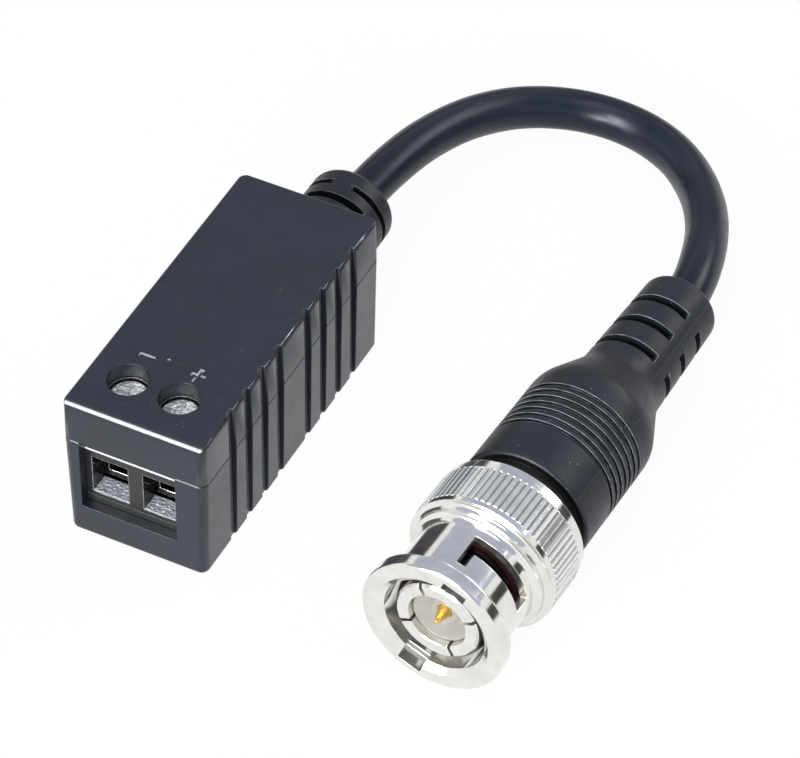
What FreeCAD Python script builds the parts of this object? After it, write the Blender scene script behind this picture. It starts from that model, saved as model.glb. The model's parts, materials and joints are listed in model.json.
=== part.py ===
import FreeCAD, Part
import math
import os
import re
import Sketcher
from FreeCAD import Placement, Rotation, Vector

# Passive video balun: a ribbed two-shell box with a two-pole screw terminal,
# a coaxial tail and a bayonet plug that lies beside the box.
# The box stands on z = 0 with the terminal at its -Y end; all sizes in mm.

# Driving sizes: name, value, meaning
SIZES = [
    # Box
    ("parting_height", 11.1, "height of the joint between the two shells"),
    ("component_bay", 22.05, "inside length behind the terminal block"),
    ("block_right_room", 1.0, "free width beside the terminal block"),
    ("block_top_gap", 0.1, "terminal block to cover"),
    ("gland_room", 2.15, "free length in front of the rear wall"),
    ("side_wall", 1.45, "side wall of both shells at their joint"),
    ("front_wall", 1.0, "wall around the terminal window"),
    ("rear_wall", 1.4, "wall that holds the strain relief"),
    ("floor_thickness", 1.3, "floor of the lower shell"),
    ("lid_thickness", 1.5, "top wall of the cover"),
    ("floor_draw", 0.25, "sides draw in down to the floor"),
    ("lid_draw", 0.07, "sides draw in up to the lid"),
    ("corner_round", 0.8, "upright corners of the box"),
    ("front_edge_round", 0.7, "top edge over the terminal"),
    ("lid_edge_round", 0.3, "other top edges"),
    ("floor_edge_round", 0.5, "bottom edges"),
    ("joint_chamfer", 0.1, "outer edges where the shells meet"),
    ("grip_width", 1.35, "grip groove, width"),
    ("grip_depth", 0.6, "grip groove, depth where the shells meet"),
    ("grip_flank", 0.6, "run of a groove's sloping front side"),
    ("grip_pitch", 2.93, "grip groove to grip groove"),
    ("grip_first", 2.6, "grip groove nearest to mid length"),
    ("grip_count", 4, "grip grooves in each half of the right side"),
    ("window_left_lap", 0.11, "wall lapping the block, left"),
    ("window_right_lap", 0.52, "wall lapping the block, right"),
    ("window_sill", 3.3, "height of the window's lower edge"),
    ("post_height", 1.7, "board posts above the floor"),
    ("post_width", 1.4, "board posts, width"),
    ("post_inset", 1.0, "rear posts ahead of the board's end"),
    ("rib_thickness", 0.7, "locating rib of the cover"),
    ("rib_reach", 0.8, "locating rib below the joint"),
    ("rib_gap", 0.1, "locating rib to side wall"),
    ("rib_setback", 0.9, "locating rib behind the terminal block"),
    ("access_radius", 1.95, "screwdriver hole in the cover"),
    ("saddle_rise", 1.5, "saddle edge above the cable axis"),
    ("saddle_gap", 0.05, "clearance around neck and saddle"),
    ("overcut", 0.5, "reach of a cut past the material"),
    ("root_depth", 0.2, "reach of a raised form into its carrier"),
    # Circuit board
    ("board_thickness", 1.0, "board"),
    ("board_side_gap", 0.15, "board to side wall"),
    ("solder_hole_radius", 0.75, "board hole for a terminal pin"),
    # Terminal block
    ("pole_pitch", 5.08, "pole to pole"),
    ("block_width", 10.16, "terminal block, width"),
    ("block_depth", 8.6, "terminal block, depth"),
    ("block_height", 10.0, "terminal block, height above the board"),
    ("block_face_height", 5.6, "upright front face of the block"),
    ("block_slope_run", 1.5, "setback of the sloping front"),
    ("block_side_gap", 0.04, "block to side wall"),
    ("block_front_gap", 0.05, "block to front wall"),
    ("mouth_width", 3.6, "wire mouth, width"),
    ("mouth_height", 4.3, "wire mouth, height"),
    ("mouth_sill", 0.55, "wire mouth above the board"),
    ("mouth_depth", 1.9, "wire mouth, depth"),
    ("head_well_radius", 1.9, "well for the screw head"),
    ("seat_thickness", 0.35, "ledge under the screw head"),
    # Rising cage, contact bar and screw
    ("cage_width", 3.6, "clamp cage, outside width"),
    ("cage_depth", 3.8, "clamp cage, depth"),
    ("cage_wall", 0.5, "clamp cage, side wall"),
    ("cage_floor", 0.65, "clamp cage, lower wall"),
    ("cage_top", 1.3, "clamp cage, threaded upper wall"),
    ("cage_window", 3.35, "clamp cage, inside height"),
    ("cage_rest", 1.0, "open cage above the board"),
    ("cage_travel", 2.2, "travel of the cage"),
    ("cage_gap", 0.1, "cage to block, front and rear"),
    ("cage_side_gap", 0.05, "cage to block, sides and stop"),
    ("bar_width", 2.4, "contact bar, width"),
    ("bar_thickness", 0.8, "contact bar, thickness"),
    ("bar_gap", 0.2, "contact bar to cage"),
    ("leg_setback", 0.8, "leg of the contact bar behind the cage"),
    ("pin_width", 1.0, "solder pin, width"),
    ("pin_reach", 1.1, "solder pin below the board"),
    ("bar_slot_gap", 0.05, "contact bar to block"),
    ("head_radius", 1.8, "screw head"),
    ("head_height", 0.85, "screw head"),
    ("head_gap", 0.05, "screw head to its ledge"),
    ("head_bevel", 0.15, "screw head, top edge"),
    ("shank_radius", 1.2, "screw shank"),
    ("shank_point", 0.3, "screw shank, lower edge"),
    ("thread_gap", 0.05, "shank to cage"),
    ("seat_gap", 0.1, "shank to ledge"),
    ("recess_width", 0.5, "cross recess, width"),
    ("recess_length", 2.6, "cross recess, length"),
    ("recess_depth", 0.45, "cross recess, depth"),
    # Components on the board
    ("core_setback", 4.7, "ferrite core behind the terminal block"),
    ("core_radius", 3.15, "ferrite core, outer radius"),
    ("core_hole_radius", 1.75, "ferrite core, hole"),
    ("core_height", 3.0, "ferrite core, height"),
    ("core_edge_round", 0.25, "ferrite core, edges"),
    ("wire_size", 0.3, "winding wire"),
    ("wire_gap", 0.05, "winding wire to core"),
    ("wire_pitch", 25.0, "turn to turn, degrees"),
    ("wire_turns", 6, "turns in each winding"),
    ("wire_start", 27.5, "first turn around the core, degrees"),
    ("lead_reach", 0.8, "winding lead beyond the core"),
    ("chip_setback", 5.9, "chip capacitors behind the core"),
    ("chip_x", 2.4, "chip capacitors, place along X"),
    ("chip_length", 3.2, "chip capacitor, length"),
    ("chip_width", 1.6, "chip capacitor, width"),
    ("chip_height", 1.2, "chip capacitor, height"),
    ("chip_cap", 0.5, "chip capacitor, end cap"),
    ("chip_cap_step", 0.06, "end cap proud of the body"),
    ("diode_setback", 3.2, "surge suppressor behind the capacitors"),
    ("diode_length", 4.4, "surge suppressor, length"),
    ("diode_width", 2.6, "surge suppressor, width"),
    ("diode_height", 2.2, "surge suppressor, height"),
    ("diode_draft", 0.25, "surge suppressor, taper of the top"),
    ("diode_lead", 0.5, "surge suppressor, lead reach"),
    ("diode_lead_height", 0.25, "surge suppressor, lead thickness"),
    # Cable
    ("cable_diameter", 4.1, "cable jacket"),
    ("cable_height", 7.65, "cable axis in the box"),
    ("jacket_start_y", 13.0, "jacket end inside the box"),
    ("dielectric_radius", 0.8, "inner insulation at the board"),
    ("braid_radius", 0.5, "twisted braid lead"),
    ("braid_offset", 1.4, "twisted braid lead beside the core"),
    ("lead_bend", 1.5, "bend of both inner leads"),
    ("core_lead_y", 10.4, "core lead on the board"),
    ("braid_lead_y", 9.8, "braid lead on the board"),
    # Strain relief of the box
    ("neck_radius", 3.4, "neck through the rear wall"),
    ("flange_radius", 4.6, "flange inside the box"),
    ("flange_thickness", 1.3, "flange inside the box"),
    ("relief_radius", 4.3, "strain relief at the box"),
    ("relief_end_radius", 4.2, "strain relief at its end"),
    ("relief_length", 8.7, "strain relief outside the box"),
    ("relief_end_round", 0.9, "strain relief, end edge"),
    ("relief_slot_floor", 2.7, "slot bottom, radius"),
    ("relief_slot_a", 4.0, "first slots from the box"),
    ("relief_slot_a_width", 0.85, "first slots, width"),
    ("relief_slot_a_span", 90.0, "first slots, degrees"),
    ("relief_slot_b", 6.05, "second slots from the box"),
    ("relief_slot_b_width", 0.65, "second slots, width"),
    ("relief_slot_b_span", 152.0, "second slots, degrees"),
    # Place of the plug
    ("plug_x", 30.02, "plug reference plane, X"),
    ("plug_y", -18.3, "plug reference plane, Y"),
    ("plug_turn", 3.15, "plug axis away from Y, degrees"),
    # Coupling nut
    ("nut_face", -0.5, "front face of the nut, from the reference plane"),
    ("ring_radius", 6.9, "front ring of the nut"),
    ("ring_length", 1.7, "front ring of the nut"),
    ("ring_edge_round", 0.3, "front ring, edges"),
    ("ring_cove_round", 0.6, "cove behind the front ring"),
    ("mouth_radius", 5.5, "flare at the nut's mouth"),
    ("mouth_flare", 0.5, "flare at the nut's mouth, length"),
    ("nut_bore", 4.9, "bore of the nut"),
    ("drum_radius", 5.75, "drum with the cam slots"),
    ("drum_length", 6.15, "drum with the cam slots"),
    ("step_drop", 0.015, "step below the middle of drum and collar"),
    ("step_length", 0.75, "step between the two coves"),
    ("cove_a_round", 0.6, "cove at the drum"),
    ("cove_b_round", 0.5, "cove at the collar"),
    ("cove_land", 0.04, "least land beside a cove"),
    ("collar_radius", 7.08, "smooth collar before the knurl"),
    ("collar_length", 0.6, "smooth collar before the knurl"),
    ("knurl_radius", 7.15, "knurled band"),
    ("knurl_length", 3.95, "knurled band"),
    ("knurl_depth", 0.2, "knurl groove, depth"),
    ("knurl_half_width", 0.15, "knurl groove, half width"),
    ("knurl_count", 72, "knurl grooves"),
    ("lip_radius", 7.0, "rear lip of the nut"),
    ("lip_length", 1.0, "rear lip of the nut"),
    ("rear_bore", 5.6, "rear recess of the nut"),
    ("web_thickness", 1.0, "inner web of the nut"),
    ("web_gap", 0.08, "web to sleeve"),
    ("keyway_width", 2.3, "entry for a bayonet lug"),
    ("keyway_angle", 69.0, "entry around the axis, degrees"),
    ("keyway_ring_radius", 6.2, "entry in the front ring"),
    ("keyway_drum_radius", 5.5, "entry in the drum"),
    ("keyway_ring_depth", 1.6, "wide part of the entry"),
    ("cam_front", 4.15, "cam slot, front edge"),
    ("cam_width", 1.85, "cam slot, width"),
    ("cam_angle", 84.0, "cam slot start, degrees"),
    ("cam_span", 77.0, "cam slot, degrees"),
    ("detent_depth", 1.55, "detent ahead of the cam slot"),
    ("detent_span", 9.0, "detent, degrees"),
    # Plug body
    ("finger_front", 0.97, "front end of the contact fingers"),
    ("finger_radius", 4.05, "contact fingers, outside"),
    ("finger_bore", 3.3, "contact fingers, inside"),
    ("finger_chamfer", 0.25, "contact fingers, front edge"),
    ("slit_width", 0.35, "slit between fingers"),
    ("slit_end", 6.0, "end of the slits"),
    ("slit_angle", 25.0, "first slit around the axis, degrees"),
    ("finger_count", 4, "contact fingers"),
    ("gasket_seat_radius", 3.75, "undercut that holds the gasket"),
    ("gasket_room", 0.1, "undercut ahead of the gasket"),
    ("flange_front", 7.1, "shoulder of the plug body"),
    ("shoulder_length", 1.0, "shoulder of the plug body"),
    ("shoulder_gap", 0.15, "shoulder to nut bore"),
    ("sleeve_radius", 3.45, "sleeve that carries the nut"),
    ("sleeve_end", 12.2, "end of the sleeve"),
    ("stem_radius", 2.55, "crimp stem"),
    ("stem_end", 19.5, "end of the crimp stem"),
    ("stem_bore", 1.3, "bore of the crimp stem"),
    ("seat_bore", 2.6, "bore for the insulator"),
    ("seat_start", 6.9, "shoulder for the insulator"),
    ("seat_end", 11.0, "bottom of the insulator bore"),
    # Insulator, pin and gasket
    ("insulator_front", 1.8, "insulator face"),
    ("insulator_gap", 0.03, "insulator to body"),
    ("insulator_end_gap", 0.05, "insulator to the shoulders behind it"),
    ("cone_radius", 2.3, "recess in the insulator, wide end"),
    ("cone_floor_radius", 1.25, "recess in the insulator, floor"),
    ("cone_depth", 0.6, "recess in the insulator, depth"),
    ("contact_radius", 0.675, "centre pin"),
    ("contact_front", 0.2, "tip of the centre pin"),
    ("contact_tip_radius", 0.12, "tip of the centre pin"),
    ("contact_taper_end", 2.3, "end of the pin's taper"),
    ("contact_collar_radius", 1.0, "rear of the centre pin"),
    ("contact_collar_start", 6.0, "shoulder of the centre pin"),
    ("contact_end", 11.2, "rear end of the centre pin"),
    ("contact_gap", 0.03, "pin to insulator"),
    ("gasket_length", 0.8, "gasket"),
    ("gasket_radius", 4.78, "gasket, outside"),
    ("gasket_gap", 0.03, "gasket to its seat"),
    # Springs and ring behind the shoulder
    ("wave_height", 1.3, "wave washer at rest"),
    ("wave_thickness", 0.25, "wave washer strip"),
    ("wave_inner", 3.6, "wave washer, inside"),
    ("wave_outer", 4.6, "wave washer, outside"),
    ("wave_count", 3, "waves around the washer"),
    ("thrust_thickness", 0.5, "thrust washer"),
    ("thrust_inner", 3.55, "thrust washer, inside"),
    ("thrust_outer", 4.75, "thrust washer, outside"),
    ("snap_gap", 0.05, "retaining ring to web"),
    ("snap_thickness", 0.6, "retaining ring"),
    ("snap_inner", 3.1, "retaining ring, inside"),
    ("snap_outer", 4.3, "retaining ring, outside"),
    ("snap_span", 320.0, "retaining ring, degrees"),
    # Crimp ferrule and core at the plug
    ("ferrule_start", 13.0, "ferrule, front"),
    ("ferrule_end", 21.5, "ferrule, rear"),
    ("ferrule_radius", 3.2, "ferrule, outside"),
    ("ferrule_bore", 2.6, "ferrule over the stem"),
    ("jacket_end", 19.9, "jacket end in the ferrule"),
    ("plug_core_radius", 1.25, "inner insulation in the stem"),
    # Boot
    ("boot_start", 14.0, "boot, front"),
    ("boot_collar_radius", 5.6, "narrow front of the boot"),
    ("boot_collar_length", 1.6, "narrow front of the boot"),
    ("boot_radius", 6.3, "barrel of the boot, front"),
    ("boot_rear_radius", 6.2, "barrel of the boot, rear"),
    ("boot_shoulder", 27.98, "barrel of the boot, end"),
    ("boot_tail_start", 32.75, "tail of the boot, start"),
    ("boot_tail_radius", 4.07, "tail of the boot, start"),
    ("boot_end", 45.3, "end of the boot"),
    ("boot_end_radius", 3.65, "end of the boot"),
    ("boot_end_round", 0.8, "end of the boot, edge"),
    ("boot_shoulder_round", 4.5, "curves at the boot's shoulder"),
    ("boot_edge_round", 0.3, "front edge of the barrel"),
    ("boot_bore_gap", 0.02, "boot to ferrule"),
    ("boot_ring_start", 20.0, "first ring groove"),
    ("boot_ring_pitch", 0.85, "ring groove to ring groove"),
    ("boot_ring_width", 0.45, "ring groove, width"),
    ("boot_ring_depth", 0.28, "ring groove, depth"),
    ("boot_ring_count", 7, "ring grooves"),
    ("boot_slot_start", 34.64, "first slot of the tail"),
    ("boot_slot_pitch", 3.125, "slot to slot"),
    ("boot_slot_width", 0.95, "slot, width"),
    ("boot_slot_floor", 2.75, "slot bottom, radius"),
    ("boot_slot_angle", 125.0, "middle of a slot, degrees"),
    ("boot_slot_span", 152.0, "slot, degrees"),
    ("boot_slot_count", 3, "slot stations"),
]

# Places and fits that follow from the driving sizes: name, formula
FITS = [
    ("box_width", "2 * side_wall + block_side_gap + block_width + block_right_room"),
    ("box_length", "front_wall + block_front_gap + block_depth + component_bay + rear_wall"),
    ("box_height", "floor_thickness + post_height + board_thickness + block_height + block_top_gap"
                   " + lid_thickness"),
    ("rib_length", "component_bay - rib_setback - gland_room"),
    ("board_length", "block_depth + component_bay - gland_room"),
    ("cavity_half_width", "box_width / 2 - side_wall"),
    ("lid_underside", "box_height - lid_thickness"),
    ("board_underside", "floor_thickness + post_height"),
    ("board_top", "board_underside + board_thickness"),
    ("board_half_width", "cavity_half_width - board_side_gap"),
    ("block_x", "-(cavity_half_width - block_side_gap - block_width / 2)"),
    ("block_front", "-(box_length / 2 - front_wall - block_front_gap)"),
    ("block_rear", "block_front + block_depth"),
    ("block_top", "board_top + block_height"),
    ("core_y", "block_rear + core_setback"),
    ("chip_y", "core_y + chip_setback"),
    ("diode_y", "chip_y + diode_setback"),
    ("cage_front", "block_front + mouth_depth + cage_gap"),
    ("cage_rear", "cage_front + cage_depth"),
    ("pole_y", "(cage_front + cage_rear) / 2"),
    ("cage_bottom", "board_top + cage_rest"),
    ("cage_window_top", "cage_bottom + cage_floor + cage_window"),
    ("cage_crown", "cage_window_top + cage_top"),
    ("well_top", "cage_crown + cage_travel + cage_side_gap"),
    ("seat_top", "well_top + seat_thickness"),
    ("head_bottom", "seat_top + head_gap"),
    ("bar_top", "cage_window_top - bar_gap"),
    ("bar_bottom", "bar_top - bar_thickness"),
    ("leg_front", "cage_rear + leg_setback"),
    ("leg_rear", "leg_front + bar_thickness"),
    ("cable_radius", "cable_diameter / 2"),
    ("web_front", "flange_front + shoulder_length + wave_height + thrust_thickness"),
    ("web_rear", "web_front + web_thickness"),
    ("ring_rear", "nut_face + ring_length"),
    ("step_radius", "(drum_radius + collar_radius) / 2 - step_drop"),
    ("drum_cove_round", "min(cove_a_round; step_radius - drum_radius - cove_land)"),
    ("collar_cove_round", "min(cove_b_round; collar_radius - step_radius - cove_land)"),
    ("step_start", "ring_rear + drum_length"),
    ("collar_start", "step_start + step_length"),
    ("knurl_start", "collar_start + collar_length"),
    ("knurl_end", "knurl_start + knurl_length"),
    ("nut_rear", "knurl_end + lip_length"),
    ("gasket_front", "flange_front - gasket_length"),
    ("finger_end", "gasket_front - gasket_room"),
    ("wave_front", "flange_front + shoulder_length"),
    ("thrust_front", "wave_front + wave_height"),
    ("snap_front", "web_rear + snap_gap"),
    ("insulator_radius", "finger_bore - insulator_gap"),
    ("insulator_rear_radius", "seat_bore - insulator_gap"),
    ("boot_barrel_start", "boot_start + boot_collar_length"),
]

# The cable's route, chosen by hand along the axis of the tail:
# inside the strain relief, round the loop and inside the boot
CABLE_ROUTE = [
    (0.0, 13.0, 7.65),
    (0.02, 19.2, 7.65),
    (0.0, 25.4, 7.65),
    (0.56, 31.53, 7.45),
    (1.48, 37.43, 6.7),
    (3.29, 43.6, 5.3),
    (6.47, 48.84, 3.7),
    (11.31, 52.1, 2.45),
    (16.74, 52.42, 2.08),
    (21.94, 49.99, 2.55),
    (26.29, 45.37, 3.6),
    (29.34, 40.13, 5.1),
    (31.4, 34.49, 6.55),
    (32.6, 28.6, 7.15),
    (32.238, 21.64, 7.15),
    (31.83, 14.95, 7.15),
    (31.502, 8.26, 7.15),
    (31.114, 1.57, 7.15),
]
ARC_SHARE = 0.45

doc = FreeCAD.newDocument("VideoBalun")
SIZE_NAMES = {name for name, number, meaning in SIZES}
FIT_NAMES = {name for name, formula in FITS}


def qualify(formula):
    """Write the owner in front of each size that a formula uses."""
    def owned(match):
        word = match.group(0)
        if word in SIZE_NAMES:
            return "Sizes." + word
        if word in FIT_NAMES:
            return "Fits." + word
        return word
    return re.sub(r"[a-z][a-z0-9_]*", owned, str(formula))


def bind(thing, prop, formula):
    thing.setExpression(prop, qualify(formula))


# Spreadsheet of driving sizes
sheet = doc.addObject("Spreadsheet::Sheet", "Sizes")
for row, (name, number, meaning) in enumerate(SIZES, start=1):
    sheet.set(f"A{row}", meaning)
    sheet.set(f"B{row}", str(number))
    sheet.setAlias(f"B{row}", name)

# Derived sizes, each bound to the sheet
fits = doc.addObject("App::VarSet", "Fits")
for name, formula in FITS:
    fits.addProperty("App::PropertyFloat", name, "Fits")
    bind(fits, name, formula)
doc.recompute()


def size(name):
    """Read a driving or derived size."""
    return float(getattr(fits, name) if name in FIT_NAMES else sheet.get(name))


PIECES = []


def add_body(label):
    body = doc.addObject("PartDesign::Body", label)
    body.Label = label
    PIECES.append(body)
    return body


def add_shape(label, shape, placement=None):
    piece = doc.addObject("Part::Feature", label)
    piece.Label = label
    piece.Shape = shape
    if placement is not None:
        piece.Placement = placement
    PIECES.append(piece)
    return piece


def place(piece, x="0", y="0", z="0"):
    bind(piece, "Placement.Base.x", x)
    bind(piece, "Placement.Base.y", y)
    bind(piece, "Placement.Base.z", z)


def place_on_plug(piece):
    """Put a piece whose own +Y runs to the rear on the plug's axis."""
    piece.Placement = Placement(Vector(), Rotation(Vector(0, 0, 1), 1))
    place(piece, "plug_x", "plug_y", "knurl_radius")
    bind(piece, "Placement.Rotation.Angle", "-plug_turn")


# Sketch planes: which way each one's normal points along its world axis
NORMALS = {"XY_Plane": 1, "XZ_Plane": -1, "YZ_Plane": 1}

# Radius on which a sketch's corners start before its sizes pull them into place
START_RADIUS = 10.0


def origin_part(body, role):
    """Axis or plane of a body's origin."""
    return next(part for part in body.Origin.OriginFeatures if part.Role == role)


def sketch_on(body, name, plane, at="0", turn=None):
    """Sketch on an origin plane, moved along its axis and turned in degrees."""
    sketch = body.newObject("Sketcher::SketchObject", name)
    sketch.AttachmentSupport = [(origin_part(body, plane), "")]
    sketch.MapMode = "FlatFace"
    if turn is not None:
        axis = Vector(0, 1, 0) if plane == "XY_Plane" else Vector(0, 0, 1)
        sign = "-" if plane == "XY_Plane" else ""
        sketch.AttachmentOffset = Placement(Vector(), Rotation(axis, 1))
        bind(sketch, "AttachmentOffset.Rotation.Angle", f"{sign}({turn})")
    bind(sketch, "AttachmentOffset.Base.z", f"{NORMALS[plane]} * ({at})")
    return sketch


def fix_point(sketch, geometry, point, x, y, guess):
    for kind, formula, start in (("DistanceX", x, guess.x), ("DistanceY", y, guess.y)):
        number = sketch.addConstraint(
            Sketcher.Constraint(kind, -1, 1, geometry, point, start))
        bind(sketch, f"Constraints[{number}]", formula)


def draw_outline(sketch, corners):
    """Closed outline of straight lines through corners given as formulas."""
    count = len(corners)
    first = sketch.GeometryCount
    angles = [math.tau * i / count for i in range(count)]
    guesses = [START_RADIUS * Vector(math.cos(angle), math.sin(angle), 0) for angle in angles]
    for i in range(count):
        sketch.addGeometry(Part.LineSegment(guesses[i], guesses[(i + 1) % count]), False)
    for i in range(count):
        sketch.addConstraint(
            Sketcher.Constraint("Coincident", first + i, 2, first + (i + 1) % count, 1))
    for i, (x, y) in enumerate(corners):
        fix_point(sketch, first + i, 1, x, y, guesses[i])


def draw_circle(sketch, x, y, radius):
    circle = sketch.addGeometry(Part.Circle(Vector(1, 1, 0), Vector(0, 0, 1), 1), False)
    fix_point(sketch, circle, 3, x, y, Vector(1, 1, 0))
    number = sketch.addConstraint(Sketcher.Constraint("Radius", circle, 1))
    bind(sketch, f"Constraints[{number}]", radius)


def box_corners(x_low, x_high, y_low, y_high):
    return [(x_low, y_low), (x_high, y_low), (x_high, y_high), (x_low, y_high)]


def extrude(body, kind, name, sketch, length, plane, towards):
    """Pad or pocket that runs along the plane's axis, towards +1 or -1."""
    feature = body.newObject(f"PartDesign::{kind}", name)
    feature.Profile = sketch
    natural = NORMALS[plane] if kind == "Pad" else -NORMALS[plane]
    feature.Reversed = towards != natural
    bind(feature, "Length", length)
    return feature


def pad(body, name, plane, at, length, outline, towards=1):
    sketch = sketch_on(body, name + "_sketch", plane, at)
    draw_outline(sketch, outline)
    return extrude(body, "Pad", name, sketch, length, plane, towards)


def pocket(body, name, plane, at, length, outline, towards=1, turn=None):
    sketch = sketch_on(body, name + "_sketch", plane, at, turn)
    draw_outline(sketch, outline)
    return extrude(body, "Pocket", name, sketch, length, plane, towards)


def drill(body, name, plane, at, length, circles, towards=1):
    sketch = sketch_on(body, name + "_sketch", plane, at)
    for x, y, radius in circles:
        draw_circle(sketch, x, y, radius)
    return extrude(body, "Pocket", name, sketch, length, plane, towards)


def turn_profile(body, name, corners, kind="Revolution", plane="XY_Plane", span="360", start=None):
    """Revolve or groove a (radius, station) outline about the sketch's upright axis."""
    sketch = sketch_on(body, name + "_sketch", plane, turn=start)
    draw_outline(sketch, corners)
    feature = body.newObject(f"PartDesign::{kind}", name)
    feature.Profile = sketch
    feature.ReferenceAxis = (sketch, ["V_Axis"])
    bind(feature, "Angle", span)
    return feature


def polar(body, name, original, axis, count):
    pattern = body.newObject("PartDesign::PolarPattern", name)
    pattern.Originals = [original]
    pattern.Axis = (original.Profile[0], [axis])
    pattern.Angle = 360
    bind(pattern, "Occurrences", count)
    body.Tip = pattern
    return pattern


def step_row(body, name, original, axis, pitch, count):
    """Copies of one feature at an even pitch along a sketch axis."""
    pattern = body.newObject("PartDesign::LinearPattern", name)
    pattern.Originals = [original]
    pattern.Direction = (original.Profile[0], [axis])
    bind(pattern, "Length", f"({pitch}) * (({count}) - 1)")
    bind(pattern, "Occurrences", count)
    body.Tip = pattern
    return pattern


def soften_edges(body, name, kind, amount, wanted):
    """Fillet or chamfer the tip's edges that the test picks."""
    doc.recompute()
    base = body.Tip
    edges = [f"Edge{i}" for i, edge in enumerate(base.Shape.Edges, start=1) if wanted(edge)]
    feature = body.newObject(f"PartDesign::{kind}", name)
    feature.Base = (base, edges)
    bind(feature, "Radius" if kind == "Fillet" else "Size", amount)
    return feature


NEAR = 1e-4


def upright(edge):
    """Test for the corners of a shell, which lean by its draw."""
    return edge.BoundBox.XLength + edge.BoundBox.YLength < edge.BoundBox.ZLength / 10


def level_at(height):
    return lambda edge: abs(edge.BoundBox.ZMin - height) + abs(edge.BoundBox.ZMax - height) < NEAR


def ring_at(*rings):
    """Test for circles about the Y axis, each given as (radius, station)."""
    def wanted(edge):
        if not isinstance(edge.Curve, Part.Circle):
            return False
        radius, station = edge.Curve.Radius, edge.Curve.Center.y
        return any(abs(radius - r) < NEAR and abs(station - s) < NEAR for r, s in rings)
    return wanted


# Outline of the box across its width, as (half width, height)
FLOOR = ("box_width / 2 - floor_draw", "0")
JOINT = ("box_width / 2", "parting_height")
LID = ("box_width / 2 - lid_draw", "box_height")
CAVITY = box_corners("-cavity_half_width", "cavity_half_width",
                     "-box_length / 2 + front_wall", "box_length / 2 - rear_wall")


def box_shell(label, low, high):
    """Solid shell between two levels of the box, chamfered where the shells meet."""
    body = add_body(label)
    pad(body, label + "_blank", "XZ_Plane", "-box_length / 2", "box_length",
        [(f"-({low[0]})", low[1]), low, high, (f"-({high[0]})", high[1])])
    soften_edges(body, label + "_corners", "Fillet", "corner_round", upright)
    soften_edges(body, label + "_joint", "Chamfer", "joint_chamfer", level_at(size("parting_height")))
    return body


def cut_grips(body, low, high):
    """Grip grooves on the right side between two heights, each with a sloping front side."""
    inner, outer = "box_width / 2 - grip_depth", "box_width / 2 + grip_depth"
    row_length = "(grip_pitch * (grip_count - 1))"
    front = f"(-grip_first - {row_length} - grip_width / 2)"
    first = pocket(body, body.Name + "_grip", "XY_Plane", f"{low} - overcut",
                   f"{high} - {low} + 2 * overcut",
                   [(inner, f"{front} + grip_flank"), (outer, f"{front} - grip_flank"),
                    (outer, f"{front} + grip_width"), (inner, f"{front} + grip_width")])
    doc.recompute()
    rows = doc.addObject("PartDesign::MultiTransform", body.Name + "_grips")
    body.addObject(rows)
    rows.Originals = [first]
    steps = []
    for name, length, count in (("row", row_length, "grip_count"),
                                ("halves", f"2 * grip_first + {row_length}", "2")):
        step = doc.addObject("PartDesign::LinearPattern", f"{body.Name}_grip_{name}")
        step.Direction = (origin_part(body, "Y_Axis"), [""])
        bind(step, "Length", length)
        bind(step, "Occurrences", count)
        body.addObject(step)
        steps.append(step)
    rows.Transformations = steps
    body.Tip = rows


def bottom_housing():
    body = box_shell("bottom_housing", FLOOR, JOINT)
    soften_edges(body, "floor_edge", "Fillet", "floor_edge_round", level_at(0))
    pocket(body, "lower_cavity", "XY_Plane", "parting_height", "parting_height - floor_thickness",
           CAVITY, towards=-1)
    pocket(body, "terminal_window", "XZ_Plane", "-box_length / 2 - overcut", "front_wall + 2 * overcut",
           box_corners("block_x - block_width / 2 + window_left_lap",
                       "block_x + block_width / 2 - window_right_lap",
                       "window_sill", "parting_height + overcut"))
    neck_half = "(neck_radius + saddle_gap)"
    wall_front, wall_cut = "box_length / 2 - rear_wall - overcut", "rear_wall + 2 * overcut"
    drill(body, "neck_seat", "XZ_Plane", wall_front, wall_cut, [("0", "cable_height", neck_half)])
    pocket(body, "neck_slot", "XZ_Plane", wall_front, wall_cut,
           box_corners(f"-{neck_half}", neck_half, "cable_height", "parting_height + overcut"))
    cut_grips(body, "0", "parting_height")
    post = pad(body, "board_post", "XY_Plane", "floor_thickness - root_depth", "post_height + root_depth",
               box_corners("-cavity_half_width - root_depth", "-cavity_half_width + post_width",
                           "block_rear", "block_rear + post_width"))
    doc.recompute()
    posts = doc.addObject("PartDesign::MultiTransform", "board_posts")
    body.addObject(posts)
    posts.Originals = [post]
    row = doc.addObject("PartDesign::LinearPattern", "post_row")
    row.Direction = (origin_part(body, "Y_Axis"), [""])
    bind(row, "Length", "board_length - block_depth - post_width - post_inset")
    row.Occurrences = 2
    right = doc.addObject("PartDesign::Mirrored", "post_right")
    right.MirrorPlane = (origin_part(body, "YZ_Plane"), [""])
    for step in (row, right):
        body.addObject(step)
    posts.Transformations = [row, right]
    body.Tip = posts


def front_edge(body):
    """Round the cover's edge over the terminal with a cut turned about the round's own axis."""
    sketch = sketch_on(body, "front_edge_sketch", "XY_Plane", "box_height - front_edge_round")
    bind(sketch, "AttachmentOffset.Base.y", "front_edge_round - box_length / 2")
    draw_outline(sketch, box_corners("-box_width / 2 - overcut", "box_width / 2 + overcut",
                                     "-2 * front_edge_round", "-front_edge_round"))
    groove = body.newObject("PartDesign::Groove", "front_edge")
    groove.Profile = sketch
    groove.ReferenceAxis = (sketch, ["H_Axis"])
    groove.Reversed = True
    groove.Angle = 90


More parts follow.
